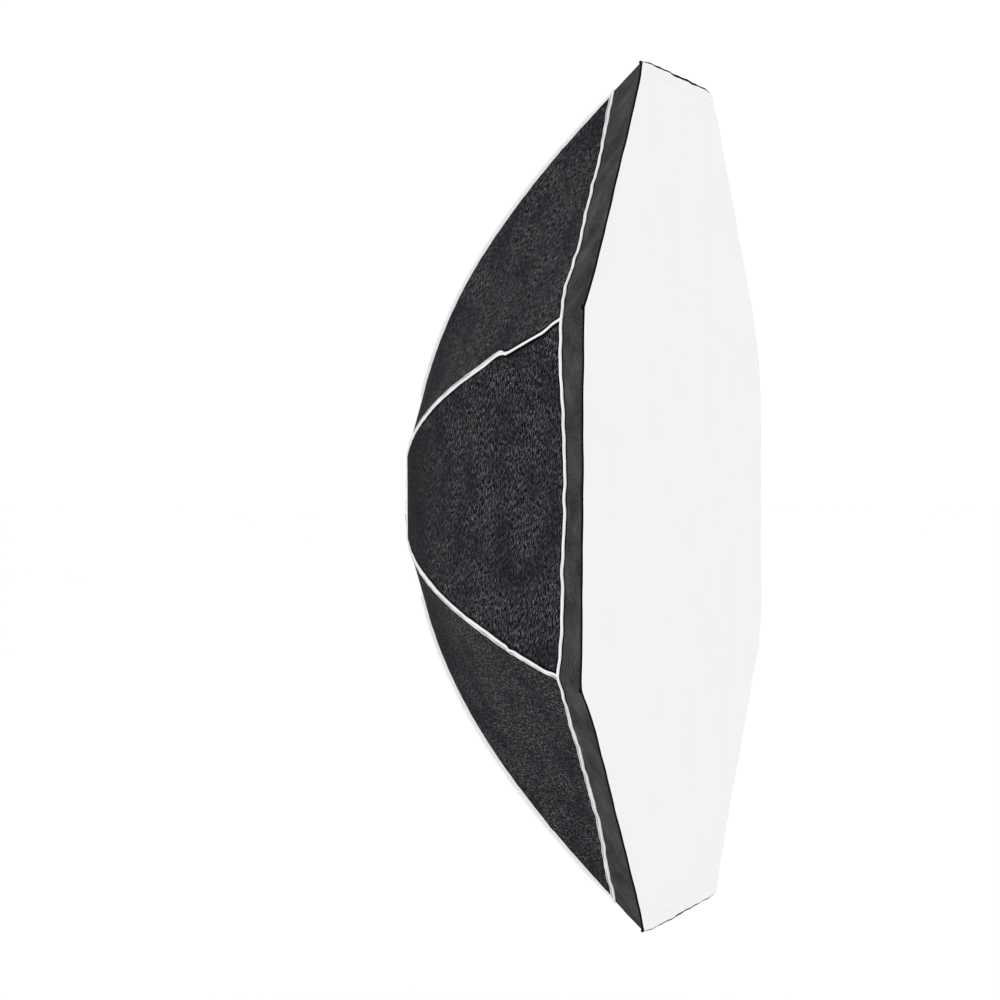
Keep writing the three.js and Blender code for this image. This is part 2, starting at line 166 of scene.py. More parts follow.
# ---- Camera, floor and lights ----
CAMERA_AZIMUTH = math.radians(-75.33)
CAMERA_ELEVATION = math.radians(0.565)
CAMERA_ROLL = math.radians(-0.177)
CAMERA_DISTANCE = 4.605
CAMERA_ASIDE = 83.4 * MM          # the object's back hem stands this far left of the view's middle
CAMERA_BELOW = 5.1 * MM           # and this far above it
CAMERA_LENS = 135.9
CAMERA_TARGET_DEPTH = 13.55 * MM
FLOOR_Z = -0.74
FLOOR_RADIUS = 60
WORLD_LEVEL = 1.06


# ---- The rib curve ----
def rib_table():
    """A clamped springy rod bends less and less along its length: its slope from the axis falls from
    start to end slope with the square of what is left. Radius and depth are the running sums of that
    slope's sine and cosine."""
    share = np.linspace(0, 1, 1601)
    slope = RIB_END_SLOPE + (RIB_START_SLOPE - RIB_END_SLOPE) * (1 - share) ** 2
    step = RIB_LENGTH * np.diff(share)

    def running(values):
        return np.concatenate([[0], np.cumsum((values[1:] + values[:-1]) / 2 * step)])

    return share, slope, HEM_RADIUS + running(np.sin(slope)), HEM_DEPTH + running(np.cos(slope))


SHARES, SLOPES, RADII, DEPTHS = rib_table()
RIM_RADIUS, RIM_DEPTH = RADII[-1], DEPTHS[-1]


def rib(share):
    """Radius, depth and slope at a share of the rib, carried straight on past its two ends."""
    share = np.asarray(share, float)
    slope = np.interp(share, SHARES, SLOPES)
    beyond = (share - np.clip(share, 0, 1)) * RIB_LENGTH
    radius = np.interp(share, SHARES, RADII) + beyond * np.sin(slope)
    depth = np.interp(share, SHARES, DEPTHS) + beyond * np.cos(slope)
    return radius, depth, slope


def place(outwards, across, depth, azimuth):
    """A point that lies so far outwards along an azimuth, so far across it and so deep, as world X, Y,
    Z."""
    c, s = np.cos(azimuth), np.sin(azimuth)
    outwards, across, depth = np.broadcast_arrays(outwards, across, depth)
    return np.stack([outwards * c - across * s, -depth, outwards * s + across * c], -1)


def smooth(x, low, high):
    """0 below low, 1 above high and an S-shaped rise between."""
    t = np.clip((x - low) / (high - low), 0, 1)
    return t * t * (3 - 2 * t)


def waves(seed, along, across, lengths):
    """An uneven ripple from -1 to 1: a sum of sine waves of the stated lengths, each with a direction
    and a start of its own, drawn from a seeded generator."""
    rng = np.random.default_rng(seed)
    total = np.zeros(np.broadcast(along, across).shape)
    for length in lengths:
        turn, start = rng.uniform(-0.5, 0.5), rng.uniform(0, 2 * math.pi)
        way = along * math.cos(turn) + across * math.sin(turn)
        total = total + np.sin(2 * math.pi * way / length + start)
    return total / len(lengths)


# ---- The canopy's surface ----
# A point of the cloth is given by its panel, its share of the rib, and its side: -1 on the rib before the
# panel, 0 in the panel's middle and 1 on the rib after it.
def panel_middle(panel):
    """The azimuth of a panel's middle line."""
    return 2 * HALF_STEP * panel


def corner_azimuth(corner):
    """The azimuth of a corner's rib."""
    return (2 * corner - 1) * HALF_STEP


def half_width(share):
    """Half the width of a flat panel at a share of the rib."""
    return rib(share)[0] * math.sin(HALF_STEP)


def at_corners(values, panel, side, share):
    """A hand-sewn stray that is full at a panel's two corners and fades out beside them."""
    half = half_width(share)
    before = values[panel - 1] * np.exp(-(((side + 1) * half / TUCK_REACH) ** 2))
    return before + values[panel % SIDES] * np.exp(-(((1 - side) * half / TUCK_REACH) ** 2))


def lip_line(panel, side):
    """The share at which the lip is sewn on: it strays at the corners, and between them it bows and
    wavers."""
    width = side * half_width(LIP_SHARE)
    waver = waves(700 + panel, width, 0 * width, [0.043, 0.083, 0.17]) * LIP_WAVER * (1 - side**8)
    bow = LIP_BOW[panel - 1] * (1 - side**2)
    return LIP_SHARE + (at_corners(LIP_AT_CORNER, panel, side, LIP_SHARE) + bow + waver) / RIB_LENGTH


def rim_line(panel, side):
    """The share at which the rim is hemmed: tucked back at the corners, with a flat-topped bow, a tilt
    and a waver between them."""
    width = side * half_width(1.0)
    waver = waves(720 + panel, width, 0 * width, [0.052, 0.11, 0.21]) * RIM_WAVER
    bow = (RIM_BOW[panel - 1] - RIM_TILT[panel - 1] * side + waver) * (1 - side**6)
    return 1 + (at_corners(RIM_TUCK, panel, side, 1.0) + bow) / RIB_LENGTH


def rib_stray(corner, share):
    """How far a rib's seam lies beside its rod: before the kink it eases one way and after it the
    other, and it comes back to the rod at the hem and at the lip."""
    kink = KINK_SHARE[corner - 1]
    before = KINK_BEFORE[corner - 1] * np.exp(-(((share - kink + 0.02) / 0.045) ** 2))
    after = KINK_AFTER[corner - 1] * smooth(share, kink - 0.008, kink + 0.022)
    return (before * (share < kink + 0.03) + after) * (1 - smooth(share, 0.84, 0.895))


def relief(panel, share, side):
    """How far the cloth stands out of its flat panel. The middle is drawn in between two ribs; close to
    a seam the cloth puckers in short waves across the stitching; broad soft waves cross the middle; the
    lip is slack between its seam and its hem; over a rod's tip the lip is raised by the pocket under
    it; a groove follows the lip's seam on both sides. All of it is zero on the ribs themselves."""
    half = half_width(share)
    across = side * half
    edge = half * (1 - np.abs(side))
    arc = share * RIB_LENGTH
    lip, rim = lip_line(panel, side), rim_line(panel, side)
    to_lip = np.abs(share - lip) * RIB_LENGTH
    into_lip = np.clip((share - lip) / (rim - lip), 0, 1)
    off_rib = 1 - np.exp(-((edge / (5 * MM)) ** 2))
    body = smooth(share, 0.02, 0.3) * (1 - smooth(into_lip, 0.0, 1.0))
    drawn = -DRAWN_IN * body * (1 - side**2) * (1 - 0.35 * smooth(share, 0.7, 0.9))
    before = waves(11 * panel, arc, 0 * arc, [0.019, 0.027, 0.041])
    after = waves(11 * panel + 5, arc, 0 * arc, [0.021, 0.031, 0.047])
    rib_pucker = SEAM_PUCKER * np.where(side < 0, before, after) * np.exp(-edge / (13 * MM)) * off_rib
    rib_pucker = rib_pucker * (1 - into_lip)
    lip_waves = waves(11 * panel + 7, across, 0 * arc, [0.024, 0.037, 0.061])
    lip_pucker = SEAM_PUCKER * lip_waves * np.exp(-to_lip / (12 * MM)) * off_rib
    soft = waves(11 * panel + 3, across, arc, [0.13, 0.19, 0.31]) * SOFT_WAVES * body * off_rib
    slack = waves(11 * panel + 9, across, 0.6 * arc, [0.045, 0.085, 0.16]) * LIP_SLACK
    slack = slack * smooth(into_lip, 0.0, 0.35) * (1 - smooth(into_lip, 0.75, 1.0)) * off_rib
    pocket = POCKET_RISE * np.exp(-((edge / (11 * MM)) ** 2)) * smooth(into_lip, 0.1, 0.35)
    pocket = pocket * (1 - smooth(into_lip, 0.7, 0.95)) * off_rib
    groove = -STITCH_GROOVE * np.exp(-(((to_lip - GROOVE_FROM_SEAM) / GROOVE_WIDTH) ** 2)) * off_rib
    return drawn + rib_pucker + lip_pucker + soft + slack + pocket + groove


def panel_normal(share, azimuth):
    """The outward normal of a flat panel: square to the panel's middle line, whose slope is the rib's
    seen from the side."""
    slope = rib(share)[2]
    outwards = np.cos(slope)
    depth = -np.sin(slope) * math.cos(HALF_STEP)
    size = np.hypot(outwards, depth)
    return place(outwards / size, 0 * slope, depth / size, azimuth)


def cloth_point(panel, share, side, lift=0.0):
    """A point of the cloth's outside: the flat panel, moved out by its relief and a lift, and carried
    sideways with a rib's straying seam, which fades out 40 mm away."""
    share, side, lift = np.broadcast_arrays(share, side, lift)
    radius, depth, _ = rib(share)
    half = radius * math.sin(HALF_STEP)
    flat = place(radius * math.cos(HALF_STEP), side * half, depth, panel_middle(panel))
    height = lift + relief(panel, share, side)
    point = flat + panel_normal(share, panel_middle(panel)) * height[..., None]
    for corner, beside in ((panel, 1 + side), (panel % SIDES + 1, 1 - side)):
        stray = rib_stray(corner, share) * (1 - smooth(beside * half, 3 * MM, 40 * MM))
        point = point + place(0.0, 1.0, 0.0, corner_azimuth(corner)) * stray[..., None]
    return point


def round_corner(corner, share_before, share_after, side_off, lift=0.0):
    """A point of the cloth's outside near a rib, at a side offset that is below zero on the panel
    before the rib and above zero after it. Lifts turn from the rib's own normal to the panel's within a
    few millimetres."""
    both = np.broadcast_arrays(share_before, share_after, side_off, lift)
    share_before, share_after, side_off, lift = both
    is_before = side_off < 0
    panel_before, panel_after = panels_beside(corner)
    before = cloth_point(panel_before, share_before, 1 + np.minimum(side_off, 0))
    after = cloth_point(panel_after, share_after, -1 + np.maximum(side_off, 0))
    cloth = np.where(is_before[..., None], before, after)
    share = np.where(is_before, share_before, share_after)
    radius, _, slope = rib(share)
    middle = corner_azimuth(corner)
    ridge = place(np.cos(slope), 0 * slope, -np.sin(slope), middle)
    face_before = panel_normal(share, middle - HALF_STEP)
    face_after = panel_normal(share, middle + HALF_STEP)
    face = np.where(is_before[..., None], face_before, face_after)
    turn = smooth(np.abs(side_off) * radius * math.sin(HALF_STEP), 0, 8 * MM)[..., None]
    normal = ridge * (1 - turn) + face * turn
    normal = normal / np.linalg.norm(normal, axis=-1, keepdims=True)
    return cloth + normal * lift[..., None]


def panels_beside(corner):
    """The panel before a corner and the panel after it."""
    return (corner - 2) % SIDES + 1, corner


def line_at_corner(line, corner, side_off):
    """The lip or rim line on both sides of a corner."""
    before, after = panels_beside(corner)
    return line(before, 1 + np.minimum(side_off, 0)), line(after, -1 + np.maximum(side_off, 0))


# ---- Meshes ----
def to_mesh(name, points, faces, materials, uv, marks):
    """A mesh from points and faces, with each point's place on the roll of cloth as its UV. Marks are
    numbers at each point, under names that the material reads."""
    mesh = bpy.data.meshes.new(name)
    mesh.from_pydata(points.reshape(-1, 3).tolist(), [], faces)
    for material in materials:
        mesh.materials.append(material)
    layer = mesh.uv_layers.new(name="cloth")
    loops = np.zeros(len(mesh.loops), np.int32)
    mesh.loops.foreach_get("vertex_index", loops)
    layer.data.foreach_set("uv", uv.reshape(-1, 2)[loops].astype(np.float32).ravel())
    for mark, values in marks.items():
        layer = mesh.attributes.new(mark, "FLOAT", "POINT")
        layer.data.foreach_set("value", np.asarray(values, np.float32).ravel())
    return mesh


def to_scene(mesh, sharp):
    """The object of a mesh, smooth up to the sharp angle, in the scene."""
    mesh.set_sharp_from_angle(angle=sharp)
    piece = bpy.data.objects.new(mesh.name, mesh)
    bpy.context.scene.collection.objects.link(piece)
    return piece


def join_points(mesh, reach):
    """Points that lie within reach of one another become one, and the faces that this empties are taken
    out."""
    work = bmesh.new()
    work.from_mesh(mesh)
    bmesh.ops.remove_doubles(work, verts=work.verts, dist=reach)
    bmesh.ops.dissolve_degenerate(work, edges=work.edges, dist=reach)
    work.to_mesh(mesh)
    work.free()


def grid_faces(rows, columns, loop_rows=False, loop_columns=False):
    """The quads of a grid of points, closed on itself where asked."""
    i = np.arange(rows if loop_rows else rows - 1)
    j = np.arange(columns if loop_columns else columns - 1)
    i, j = (a.ravel() for a in np.meshgrid(i, j, indexing="ij"))
    i2, j2 = (i + 1) % rows, (j + 1) % columns
    return np.stack([i * columns + j, i2 * columns + j, i2 * columns + j2, i * columns + j2], 1)


def grid_normals(points):
    """Unit normals of a grid: the cross product of its two directions."""
    normal = np.cross(np.gradient(points, axis=0), np.gradient(points, axis=1))
    return normal / np.maximum(np.linalg.norm(normal, axis=-1, keepdims=True), 1e-12)


def shell(name, outside, facing, thick, skins, uv, seam, reach=0.0):
    """A sheet of cloth: a grid of points on its outside, the same grid moved in by its thickness along
    the normals, and a narrow wall all round that joins the two. Facing is a direction that its outside
    looks towards. Seam is each point's distance from the nearest seam. Points within reach of one
    another are joined."""
    normals = grid_normals(outside)
    rows, columns = outside.shape[:2]
    flip = np.sum(normals * facing) < 0
    if flip:
        normals = -normals
    count = rows * columns
    face = grid_faces(rows, columns)
    face = face[:, ::-1] if flip else face
    back = face[:, ::-1] + count
    index = np.arange(count).reshape(rows, columns)
    border = np.concatenate([index[:-1, 0], index[-1, :-1], index[:0:-1, -1], index[0, :0:-1]])
    following = np.roll(border, -1)
    wall = np.stack([following, border, border + count, following + count], 1)
    wall = wall[:, ::-1] if flip else wall
    points = np.concatenate([outside.reshape(-1, 3), (outside - normals * thick).reshape(-1, 3)])
    faces = np.concatenate([face, back, wall])
    marks = {"seam": np.concatenate([seam.ravel(), seam.ravel()])}
    mesh = to_mesh(name, points, faces.tolist(), skins, np.concatenate([uv, uv]), marks)
    skin_of_face = np.concatenate([np.zeros(len(face)), np.ones(len(back)), np.zeros(len(wall))])
    mesh.polygons.foreach_set("material_index", skin_of_face.astype(np.int32))
    if reach:
        join_points(mesh, reach)
    return to_scene(mesh, CLOTH_SHARP)


def bead(name, points, material, uv, closed=False, marks=None, sharp=TAPE_SHARP):
    """A closed section carried along a path: rows run along the path and columns round the section. The
    two ends are capped unless the path closes on itself."""
    rows, columns = points.shape[:2]
    faces = grid_faces(rows, columns, closed, True).tolist()
    if not closed:
        faces.append(list(range(columns))[::-1])
        faces.append([(rows - 1) * columns + j for j in range(columns)])
    if signed_volume(points.reshape(-1, 3), faces) < 0:
        faces = [face[::-1] for face in faces]
    return to_scene(to_mesh(name, points, faces, [material], uv, marks or {}), sharp)


def signed_volume(points, faces):
    """Six times the volume inside faces, above zero where they point out."""
    total = 0.0
    centre = points.mean(0)
    for size in {len(face) for face in faces}:
        index = np.array([face for face in faces if len(face) == size])
        corners = points[index] - centre
        for j in range(1, size - 1):
            total += np.sum(corners[:, 0] * np.cross(corners[:, j], corners[:, j + 1]))
    return total


# ---- Materials ----
class Nodes:
    """A small helper that adds shader nodes to one material and links them."""

    def __init__(self, name):
        self.material = bpy.data.materials.new(name)
        self.material.use_nodes = True
        self.tree = self.material.node_tree
        self.shader = self.tree.nodes["Principled BSDF"]

    def add(self, kind, **inputs):
        node = self.tree.nodes.new(kind)
        for key, value in inputs.items():
            name = key.replace("_", " ")
            if name in node.inputs:
                self.feed(node.inputs[name], value)
            else:
                setattr(node, key, value)
        return node

    def feed(self, socket, value):
        if isinstance(value, bpy.types.NodeSocket):
            self.tree.links.new(value, socket)
        else:
            socket.default_value = value

    def set(self, **inputs):
        for key, value in inputs.items():
            self.feed(self.shader.inputs[key.replace("_", " ")], value)

    def coordinates(self, name="Object"):
        return self.add("ShaderNodeTexCoord").outputs[name]

    def mark(self, name):
        """The number that each point carries under a name."""
        return self.add("ShaderNodeAttribute", attribute_name=name).outputs["Fac"]

    def stretched(self, vector, scale):
        return self.add("ShaderNodeMapping", Vector=vector, Scale=scale).outputs["Vector"]

    def noise(self, vector, scale, detail=2.0, roughness=0.5, distortion=0.0):
        node = self.add("ShaderNodeTexNoise", Vector=vector, Scale=scale, Detail=detail)
        node.inputs["Roughness"].default_value = roughness
        node.inputs["Distortion"].default_value = distortion
        return node.outputs["Fac"]

    def ramp(self, value, stops):
        node = self.add("ShaderNodeValToRGB", Fac=value)
        elements = node.color_ramp.elements
        while len(elements) < len(stops):
            elements.new(0.5)
        for element, (position, color) in zip(elements, stops):
            element.position = position
            element.color = (*color, 1) if len(color) == 3 else color
        return node.outputs["Color"]

    def math(self, operation, a, b=0.0):
        node = self.add("ShaderNodeMath", operation=operation)
        for socket, value in zip(node.inputs, (a, b)):
            self.feed(socket, value)
        return node.outputs["Value"]

    def rise(self, value, low, high, start=0.0, end=1.0):
        """Start below low, end above high and an S-shaped change between."""
        node = self.add("ShaderNodeMapRange", interpolation_type="SMOOTHSTEP", Value=value)
        limits = {"From Min": low, "From Max": high, "To Min": start, "To Max": end}
        for name, limit in limits.items():
            node.inputs[name].default_value = limit
        return node.outputs["Result"]

    def mix(self, share, a, b):
        node = self.add("ShaderNodeMix", data_type="RGBA")
        for socket in node.inputs:
            if socket.name == "Factor" and socket.type == "VALUE":
                self.feed(socket, share)
            elif socket.type == "RGBA":
                self.feed(socket, a if socket.name == "A" else b)
        return next(socket for socket in node.outputs if socket.type == "RGBA")

    def bump(self, height, distance, strength=1.0, normal=None):
        node = self.add("ShaderNodeBump", Height=height, Distance=distance, Strength=strength)
        if normal is not None:
            self.feed(node.inputs["Normal"], normal)
        return node.outputs["Normal"]


def grey(level):
    """An even grey, with its alpha."""
    return (level, level, level, 1.0)


def seam_shade(n, near, far):
    """0 in the stitched groove beside a seam and 1 clear of it."""
    return n.rise(n.mark("seam"), near, far)


def canopy_cloth():
    """Black coated nylon with a crinkled face: short pale strokes that come and go in patches, over a
    fine weave. The strokes are crinkles, bumped in the normal, with painted highlight on their tops and
    painted shade in the gaps between them. Towards the ring the cloth is stretched smooth, with fewer
    crinkles and so less of this painted light, and beside a seam it lies in painted shade."""
    n = Nodes("canopy_cloth")
    where = n.coordinates()
    roll = n.coordinates("UV")
    parts = n.add("ShaderNodeSeparateXYZ", Vector=where).outputs
    square_x = n.math("MULTIPLY", parts["X"], parts["X"])
    square = n.math("ADD", square_x, n.math("MULTIPLY", parts["Z"], parts["Z"]))
    crinkles = n.rise(n.math("SQRT", square), 0.15, 0.3, start=0.08)
    patches = n.noise(where, 21.0, 2.0, 0.5)
    patchy = n.ramp(patches, [(0.36, (0.35, 0.35, 0.35)), (0.6, (1.0, 1.0, 1.0))])
    amount = n.math("MULTIPLY", crinkles, patchy)
    strokes = n.noise(n.stretched(roll, (205.0, 620.0, 1.0)), 1.0, 2.5, 0.6, 0.7)
    stroke = n.ramp(strokes, [(0.44, (0.0, 0.0, 0.0)), (0.66, (1.0, 1.0, 1.0))])
    weave = n.noise(n.stretched(roll, (1500.0, 3200.0, 1.0)), 1.0, 1.0)
    smooth_tone = n.ramp(patches, [(0.3, (0.0085, 0.0085, 0.012)), (0.7, (0.013, 0.013, 0.015))])
    # Painted light: the pale end of this ramp is painted highlight on the crinkles and the dark end is
    # painted shade between them.
    crinkle_highlight_and_shade = n.ramp(strokes, [(0.42, (0.0012, 0.0012, 0.002)), (0.51, (0.0135, 0.0135, 0.017)),
                                (0.64, (0.13, 0.129, 0.138))])
    tone = n.mix(amount, smooth_tone, crinkle_highlight_and_shade)
    n.set(Base_Color=n.mix(seam_shade(n, 0.0036, 0.0078), grey(0.001), tone))
    n.set(Roughness=n.ramp(strokes, [(0.45, (0.85, 0.85, 0.85)), (0.65, (0.6, 0.6, 0.6))]))
    coarse = n.bump(n.math("MULTIPLY", stroke, amount), 0.0006, 0.8)
    n.set(Normal=n.bump(weave, 0.0002, 0.35, coarse))
    n.set(Sheen_Weight=0.002, Sheen_Roughness=0.4, Specular_IOR_Level=0.015)
    return n.material


def lip_cloth():
    """The lip's smoother nylon: a dark grey with a fine two-way weave and a few soft streaks, in shadow
    beside its seams."""
    n = Nodes("lip_cloth")
    where = n.coordinates()
    cloth = n.coordinates("UV")
    warp = n.noise(n.stretched(cloth, (1300.0, 300.0, 1.0)), 1.0, 1.0)
    weft = n.noise(n.stretched(cloth, (300.0, 1300.0, 1.0)), 1.0, 1.0)
    weave = n.math("ADD", warp, weft)
    streaks = n.noise(where, 24.0, 3.0, 0.6)
    fine = n.noise(where, 420.0, 2.0, 0.6)
    tone = n.ramp(n.math("ADD", n.math("MULTIPLY", streaks, 0.6), n.math("MULTIPLY", fine, 0.4)),
                  [(0.36, (0.014, 0.014, 0.0145)), (0.64, (0.058, 0.058, 0.057))])
    n.set(Base_Color=n.mix(seam_shade(n, 0.0026, 0.0056), grey(0.001), tone))
    n.set(Roughness=0.8, Sheen_Weight=0.004, Sheen_Roughness=0.5, Specular_IOR_Level=0.03)
    n.set(Normal=n.bump(weave, 0.0002, 0.4, n.bump(streaks, 0.002, 0.25)))
    return n.material


def hem_cloth():
    """Black grosgrain that binds the rim: ribs across its length."""
    n = Nodes("hem_cloth")
    ribs = n.add("ShaderNodeTexWave", Vector=n.coordinates("UV"), Scale=280.0, Distortion=0.4)
    tone = [(0.0, (0.002, 0.002, 0.002)), (1.0, (0.008, 0.008, 0.0085))]
    n.set(Base_Color=n.ramp(ribs.outputs["Fac"], tone))
    n.set(Roughness=0.85, Specular_IOR_Level=0.04, Normal=n.bump(ribs.outputs["Fac"], 0.0002, 0.5))
    return n.material


def piping_cloth():
    """Folded binding tape: its two folded edges are near white and its sunk middle is painted grey as the
    shade inside the fold, where the mark says that the fold stands open, with fine ribs across it and a
    row of stitches down the middle."""
    n = Nodes("piping_cloth")
    cloth = n.coordinates("UV")
    parts = n.add("ShaderNodeSeparateXYZ", Vector=cloth).outputs
    side = n.math("ABSOLUTE", n.math("SUBTRACT", parts["Y"], 0.5))
    # Painted shade: the grey of the sunk middle stands in for the shade inside the open fold.
    fold_shade = n.math("MULTIPLY", n.rise(side, 0.12, 0.3, start=1.0, end=0.0), n.mark("fold_shade"))
    stitch = n.math("SINE", n.math("MULTIPLY", parts["X"], 2 * math.pi / 0.003))
    stitched = n.math("MULTIPLY", n.math("LESS_THAN", side, 0.05), n.math("LESS_THAN", stitch, 0.3))
    fine = n.noise(n.coordinates(), 900.0, 2.0)
    edge = n.ramp(fine, [(0.3, (0.7, 0.7, 0.71)), (0.7, (0.84, 0.84, 0.845))])
    middle = n.mix(n.math("MULTIPLY", stitched, 0.5), grey(0.3), grey(0.16))
    n.set(Base_Color=n.mix(fold_shade, edge, middle))
    ribs = n.add("ShaderNodeTexWave", Vector=cloth, Scale=420.0, Distortion=0.6)
    n.set(Roughness=0.85, Sheen_Weight=0.01, Specular_IOR_Level=0.05)
    n.set(Normal=n.bump(ribs.outputs["Fac"], 0.0002, 0.45))
    return n.material


def lining_cloth():
    """The canopy's silver lining: a metallic coating on a weave that shows through as fine dimples."""
    n = Nodes("lining")
    where = n.coordinates()
    dimples = n.noise(where, 700.0, 2.0, 0.6)
    creases = n.noise(where, 38.0, 4.0, 0.62, 0.4)
    n.set(Base_Color=n.ramp(creases, [(0.3, (0.42, 0.43, 0.44)), (0.7, (0.66, 0.67, 0.68))]))
    n.set(Metallic=0.7, Roughness=n.ramp(dimples, [(0.3, (0.3, 0.3, 0.3)), (0.7, (0.5, 0.5, 0.5))]))
    n.set(Normal=n.bump(dimples, 0.0005, 0.4, n.bump(creases, 0.004, 0.5)))
    return n.material


def diffuser_cloth(name, level):
    """White translucent nylon: a fine even weave and very faint cloudiness, turned over at its edge and
    held there by a row of stitches that pulls a shallow groove."""
    n = Nodes(name)
    cloth = n.coordinates("UV")
    warp = n.noise(n.stretched(cloth, (1400.0, 280.0, 1.0)), 1.0, 1.0)
    weft = n.noise(n.stretched(cloth, (280.0, 1400.0, 1.0)), 1.0, 1.0)
    weave = n.math("ADD", warp, weft)
    cloud = n.noise(n.coordinates(), 9.0, 3.0)
    tone = n.ramp(cloud, [(0.3, grey(level * 0.985)[:3]), (0.7, grey(level)[:3])])
    from_row = n.math("ABSOLUTE", n.math("SUBTRACT", n.mark("seam"), STITCHED_IN))
    row = n.rise(from_row, 0.0003, 0.0014, start=1.0, end=0.0)
    thread = n.noise(n.coordinates(), 260.0, 1.0)
    sewn = n.math("MULTIPLY", row, n.math("GREATER_THAN", thread, 0.46))
    n.set(Base_Color=n.mix(n.math("MULTIPLY", sewn, 0.18), tone, grey(level * 0.75)))
    n.set(Roughness=0.85, Sheen_Weight=0.05, Specular_IOR_Level=0.2)
    groove = n.bump(n.math("SUBTRACT", 1.0, row), 0.0003, 0.5)
    n.set(Normal=n.bump(weave, 0.00015, 0.3, groove))
    return n.material


def elastic_cloth():
    """Ribbed black elastic."""
    n = Nodes("elastic")
    ribs = n.add("ShaderNodeTexWave", Vector=n.coordinates(), Scale=380.0, Distortion=0.3)
    tone = [(0.0, (0.01, 0.01, 0.011)), (1.0, (0.035, 0.035, 0.037))]
    n.set(Base_Color=n.ramp(ribs.outputs["Fac"], tone))
    n.set(Roughness=0.75, Normal=n.bump(ribs.outputs["Fac"], 0.0003, 0.5))
    return n.material


def cast_metal():
    """Black powder coat on a cast aluminium ring: an orange-peel skin, rubbed a little brighter in
    places."""
    n = Nodes("ring_casting")
    where = n.coordinates()
    peel = n.noise(where, 900.0, 2.0, 0.5)
    rubbed = n.noise(where, 30.0, 4.0, 0.6)
    n.set(Base_Color=n.ramp(rubbed, [(0.45, (0.016, 0.017, 0.018)), (0.75, (0.035, 0.036, 0.038))]))
    n.set(Metallic=0.35, Roughness=n.ramp(rubbed, [(0.4, (0.42, 0.42, 0.42)), (0.7, (0.3, 0.3, 0.3))]))
    n.set(Normal=n.bump(peel, 0.0003, 0.25))
    return n.material


def turned_metal(name, level, turns):
    """Turned or rolled bright metal: fine rings round the optical axis and faint wear."""
    n = Nodes(name)
    where = n.coordinates()
    rings = n.add("ShaderNodeTexWave", Vector=where, Scale=turns, Distortion=0.5, wave_type="RINGS")
    rings.rings_direction = "Y"
    wear = n.noise(where, 55.0, 4.0, 0.6)
    n.set(Base_Color=n.ramp(wear, [(0.35, grey(level * 0.82)[:3]), (0.7, grey(level)[:3])]))
    n.set(Metallic=1.0, Roughness=n.ramp(wear, [(0.3, (0.24, 0.24, 0.24)), (0.7, (0.4, 0.4, 0.4))]))
    n.set(Normal=n.bump(rings.outputs["Fac"], 0.00008, 0.4))
    return n.material


def moulded_plastic():
    """Glass-filled black nylon: a fine spark-eroded grain with duller and shinier patches."""
    n = Nodes("moulded_black")
    where = n.coordinates()
    grain = n.noise(where, 1300.0, 2.0, 0.6)
    patch = n.noise(where, 70.0, 3.0)
    n.set(Base_Color=n.ramp(patch, [(0.35, (0.011, 0.011, 0.012)), (0.7, (0.021, 0.021, 0.023))]))
    n.set(Roughness=n.ramp(patch, [(0.3, (0.42, 0.42, 0.42)), (0.7, (0.58, 0.58, 0.58))]))
    n.set(Normal=n.bump(grain, 0.0002, 0.35))
    return n.material


def rod_glassfibre():
    """Dark resin over drawn glass fibres: streaks along the rod under a semi-gloss skin."""
    n = Nodes("rod_fibreglass")
    streaks = n.noise(n.stretched(n.coordinates("UV"), (6.0, 240.0, 1.0)), 3.0, 3.0, 0.6)
    n.set(Base_Color=n.ramp(streaks, [(0.35, (0.014, 0.015, 0.016)), (0.7, (0.04, 0.041, 0.043))]))
    n.set(Roughness=0.32, Coat_Weight=0.3, Coat_Roughness=0.2, Normal=n.bump(streaks, 0.0002, 0.3))
    return n.material


CANOPY = canopy_cloth()
LIP = lip_cloth()
HEM = hem_cloth()
PIPING = piping_cloth()
LINING = lining_cloth()
DIFFUSER = diffuser_cloth("diffuser_cloth", 0.86)
BAFFLE = diffuser_cloth("baffle_cloth", 0.78)
ELASTIC = elastic_cloth()
CASTING = cast_metal()
INSERT = turned_metal("insert_metal", 0.62, 520.0)
STEEL = turned_metal("bright_steel", 0.68, 900.0)
MOULDED = moulded_plastic()
ROD = rod_glassfibre()


# ---- Cloth pieces ----
def strip_width(share):
    """Half the width of the strip that stays on a rod: as wide as fits beside its neighbours once the
    rods are folded, so it is narrow at the hem, widest in the middle and a little narrower at the rim."""
    share = np.asarray(share, float)
    return STRIP_AT_HEM + STRIP_GAINS * smooth(share, -0.02, 0.4) - STRIP_LOSES * smooth(share, 0.55, 1.0)


def strip_side(share):
    """The side offset of a strip's edge, measured from its rib."""
    return strip_width(share) / half_width(share)


def span_side(share):
    """The side offset of a span's edge, which stops a hair short of the strip."""
    return 1 - strip_side(share) - BETWEEN_PIECES / half_width(share)


def flat_area(low, high, width):
    """The flat area of a piece of cloth between two shares of the rib, whose width at each share is
    given."""
    share = np.linspace(low, high, 200)
    values = width(share)
    middle = (values[1:] + values[:-1]) / 2
    slope = rib(share)[2]
    stretch = np.hypot(np.sin(slope) * math.cos(HALF_STEP), np.cos(slope))
    return float(np.sum(middle * np.diff(share) * RIB_LENGTH * (stretch[1:] + stretch[:-1]) / 2))


def grain(panel, share, side, turned):
    """Where a point lies on the roll of cloth: metres across and along its panel, moved to a place of
    its own for each panel. Canopy panels are cut at different angles to the roll."""
    across, along = side * half_width(share), share * RIB_LENGTH
    turn = (0.35 + 0.5 * ((4 - panel) % 3)) * turned
    u = across * np.cos(turn) - along * np.sin(turn) + 1.7 * panel
    v = across * np.sin(turn) + along * np.cos(turn)
    return np.stack(np.broadcast_arrays(u, v), -1)


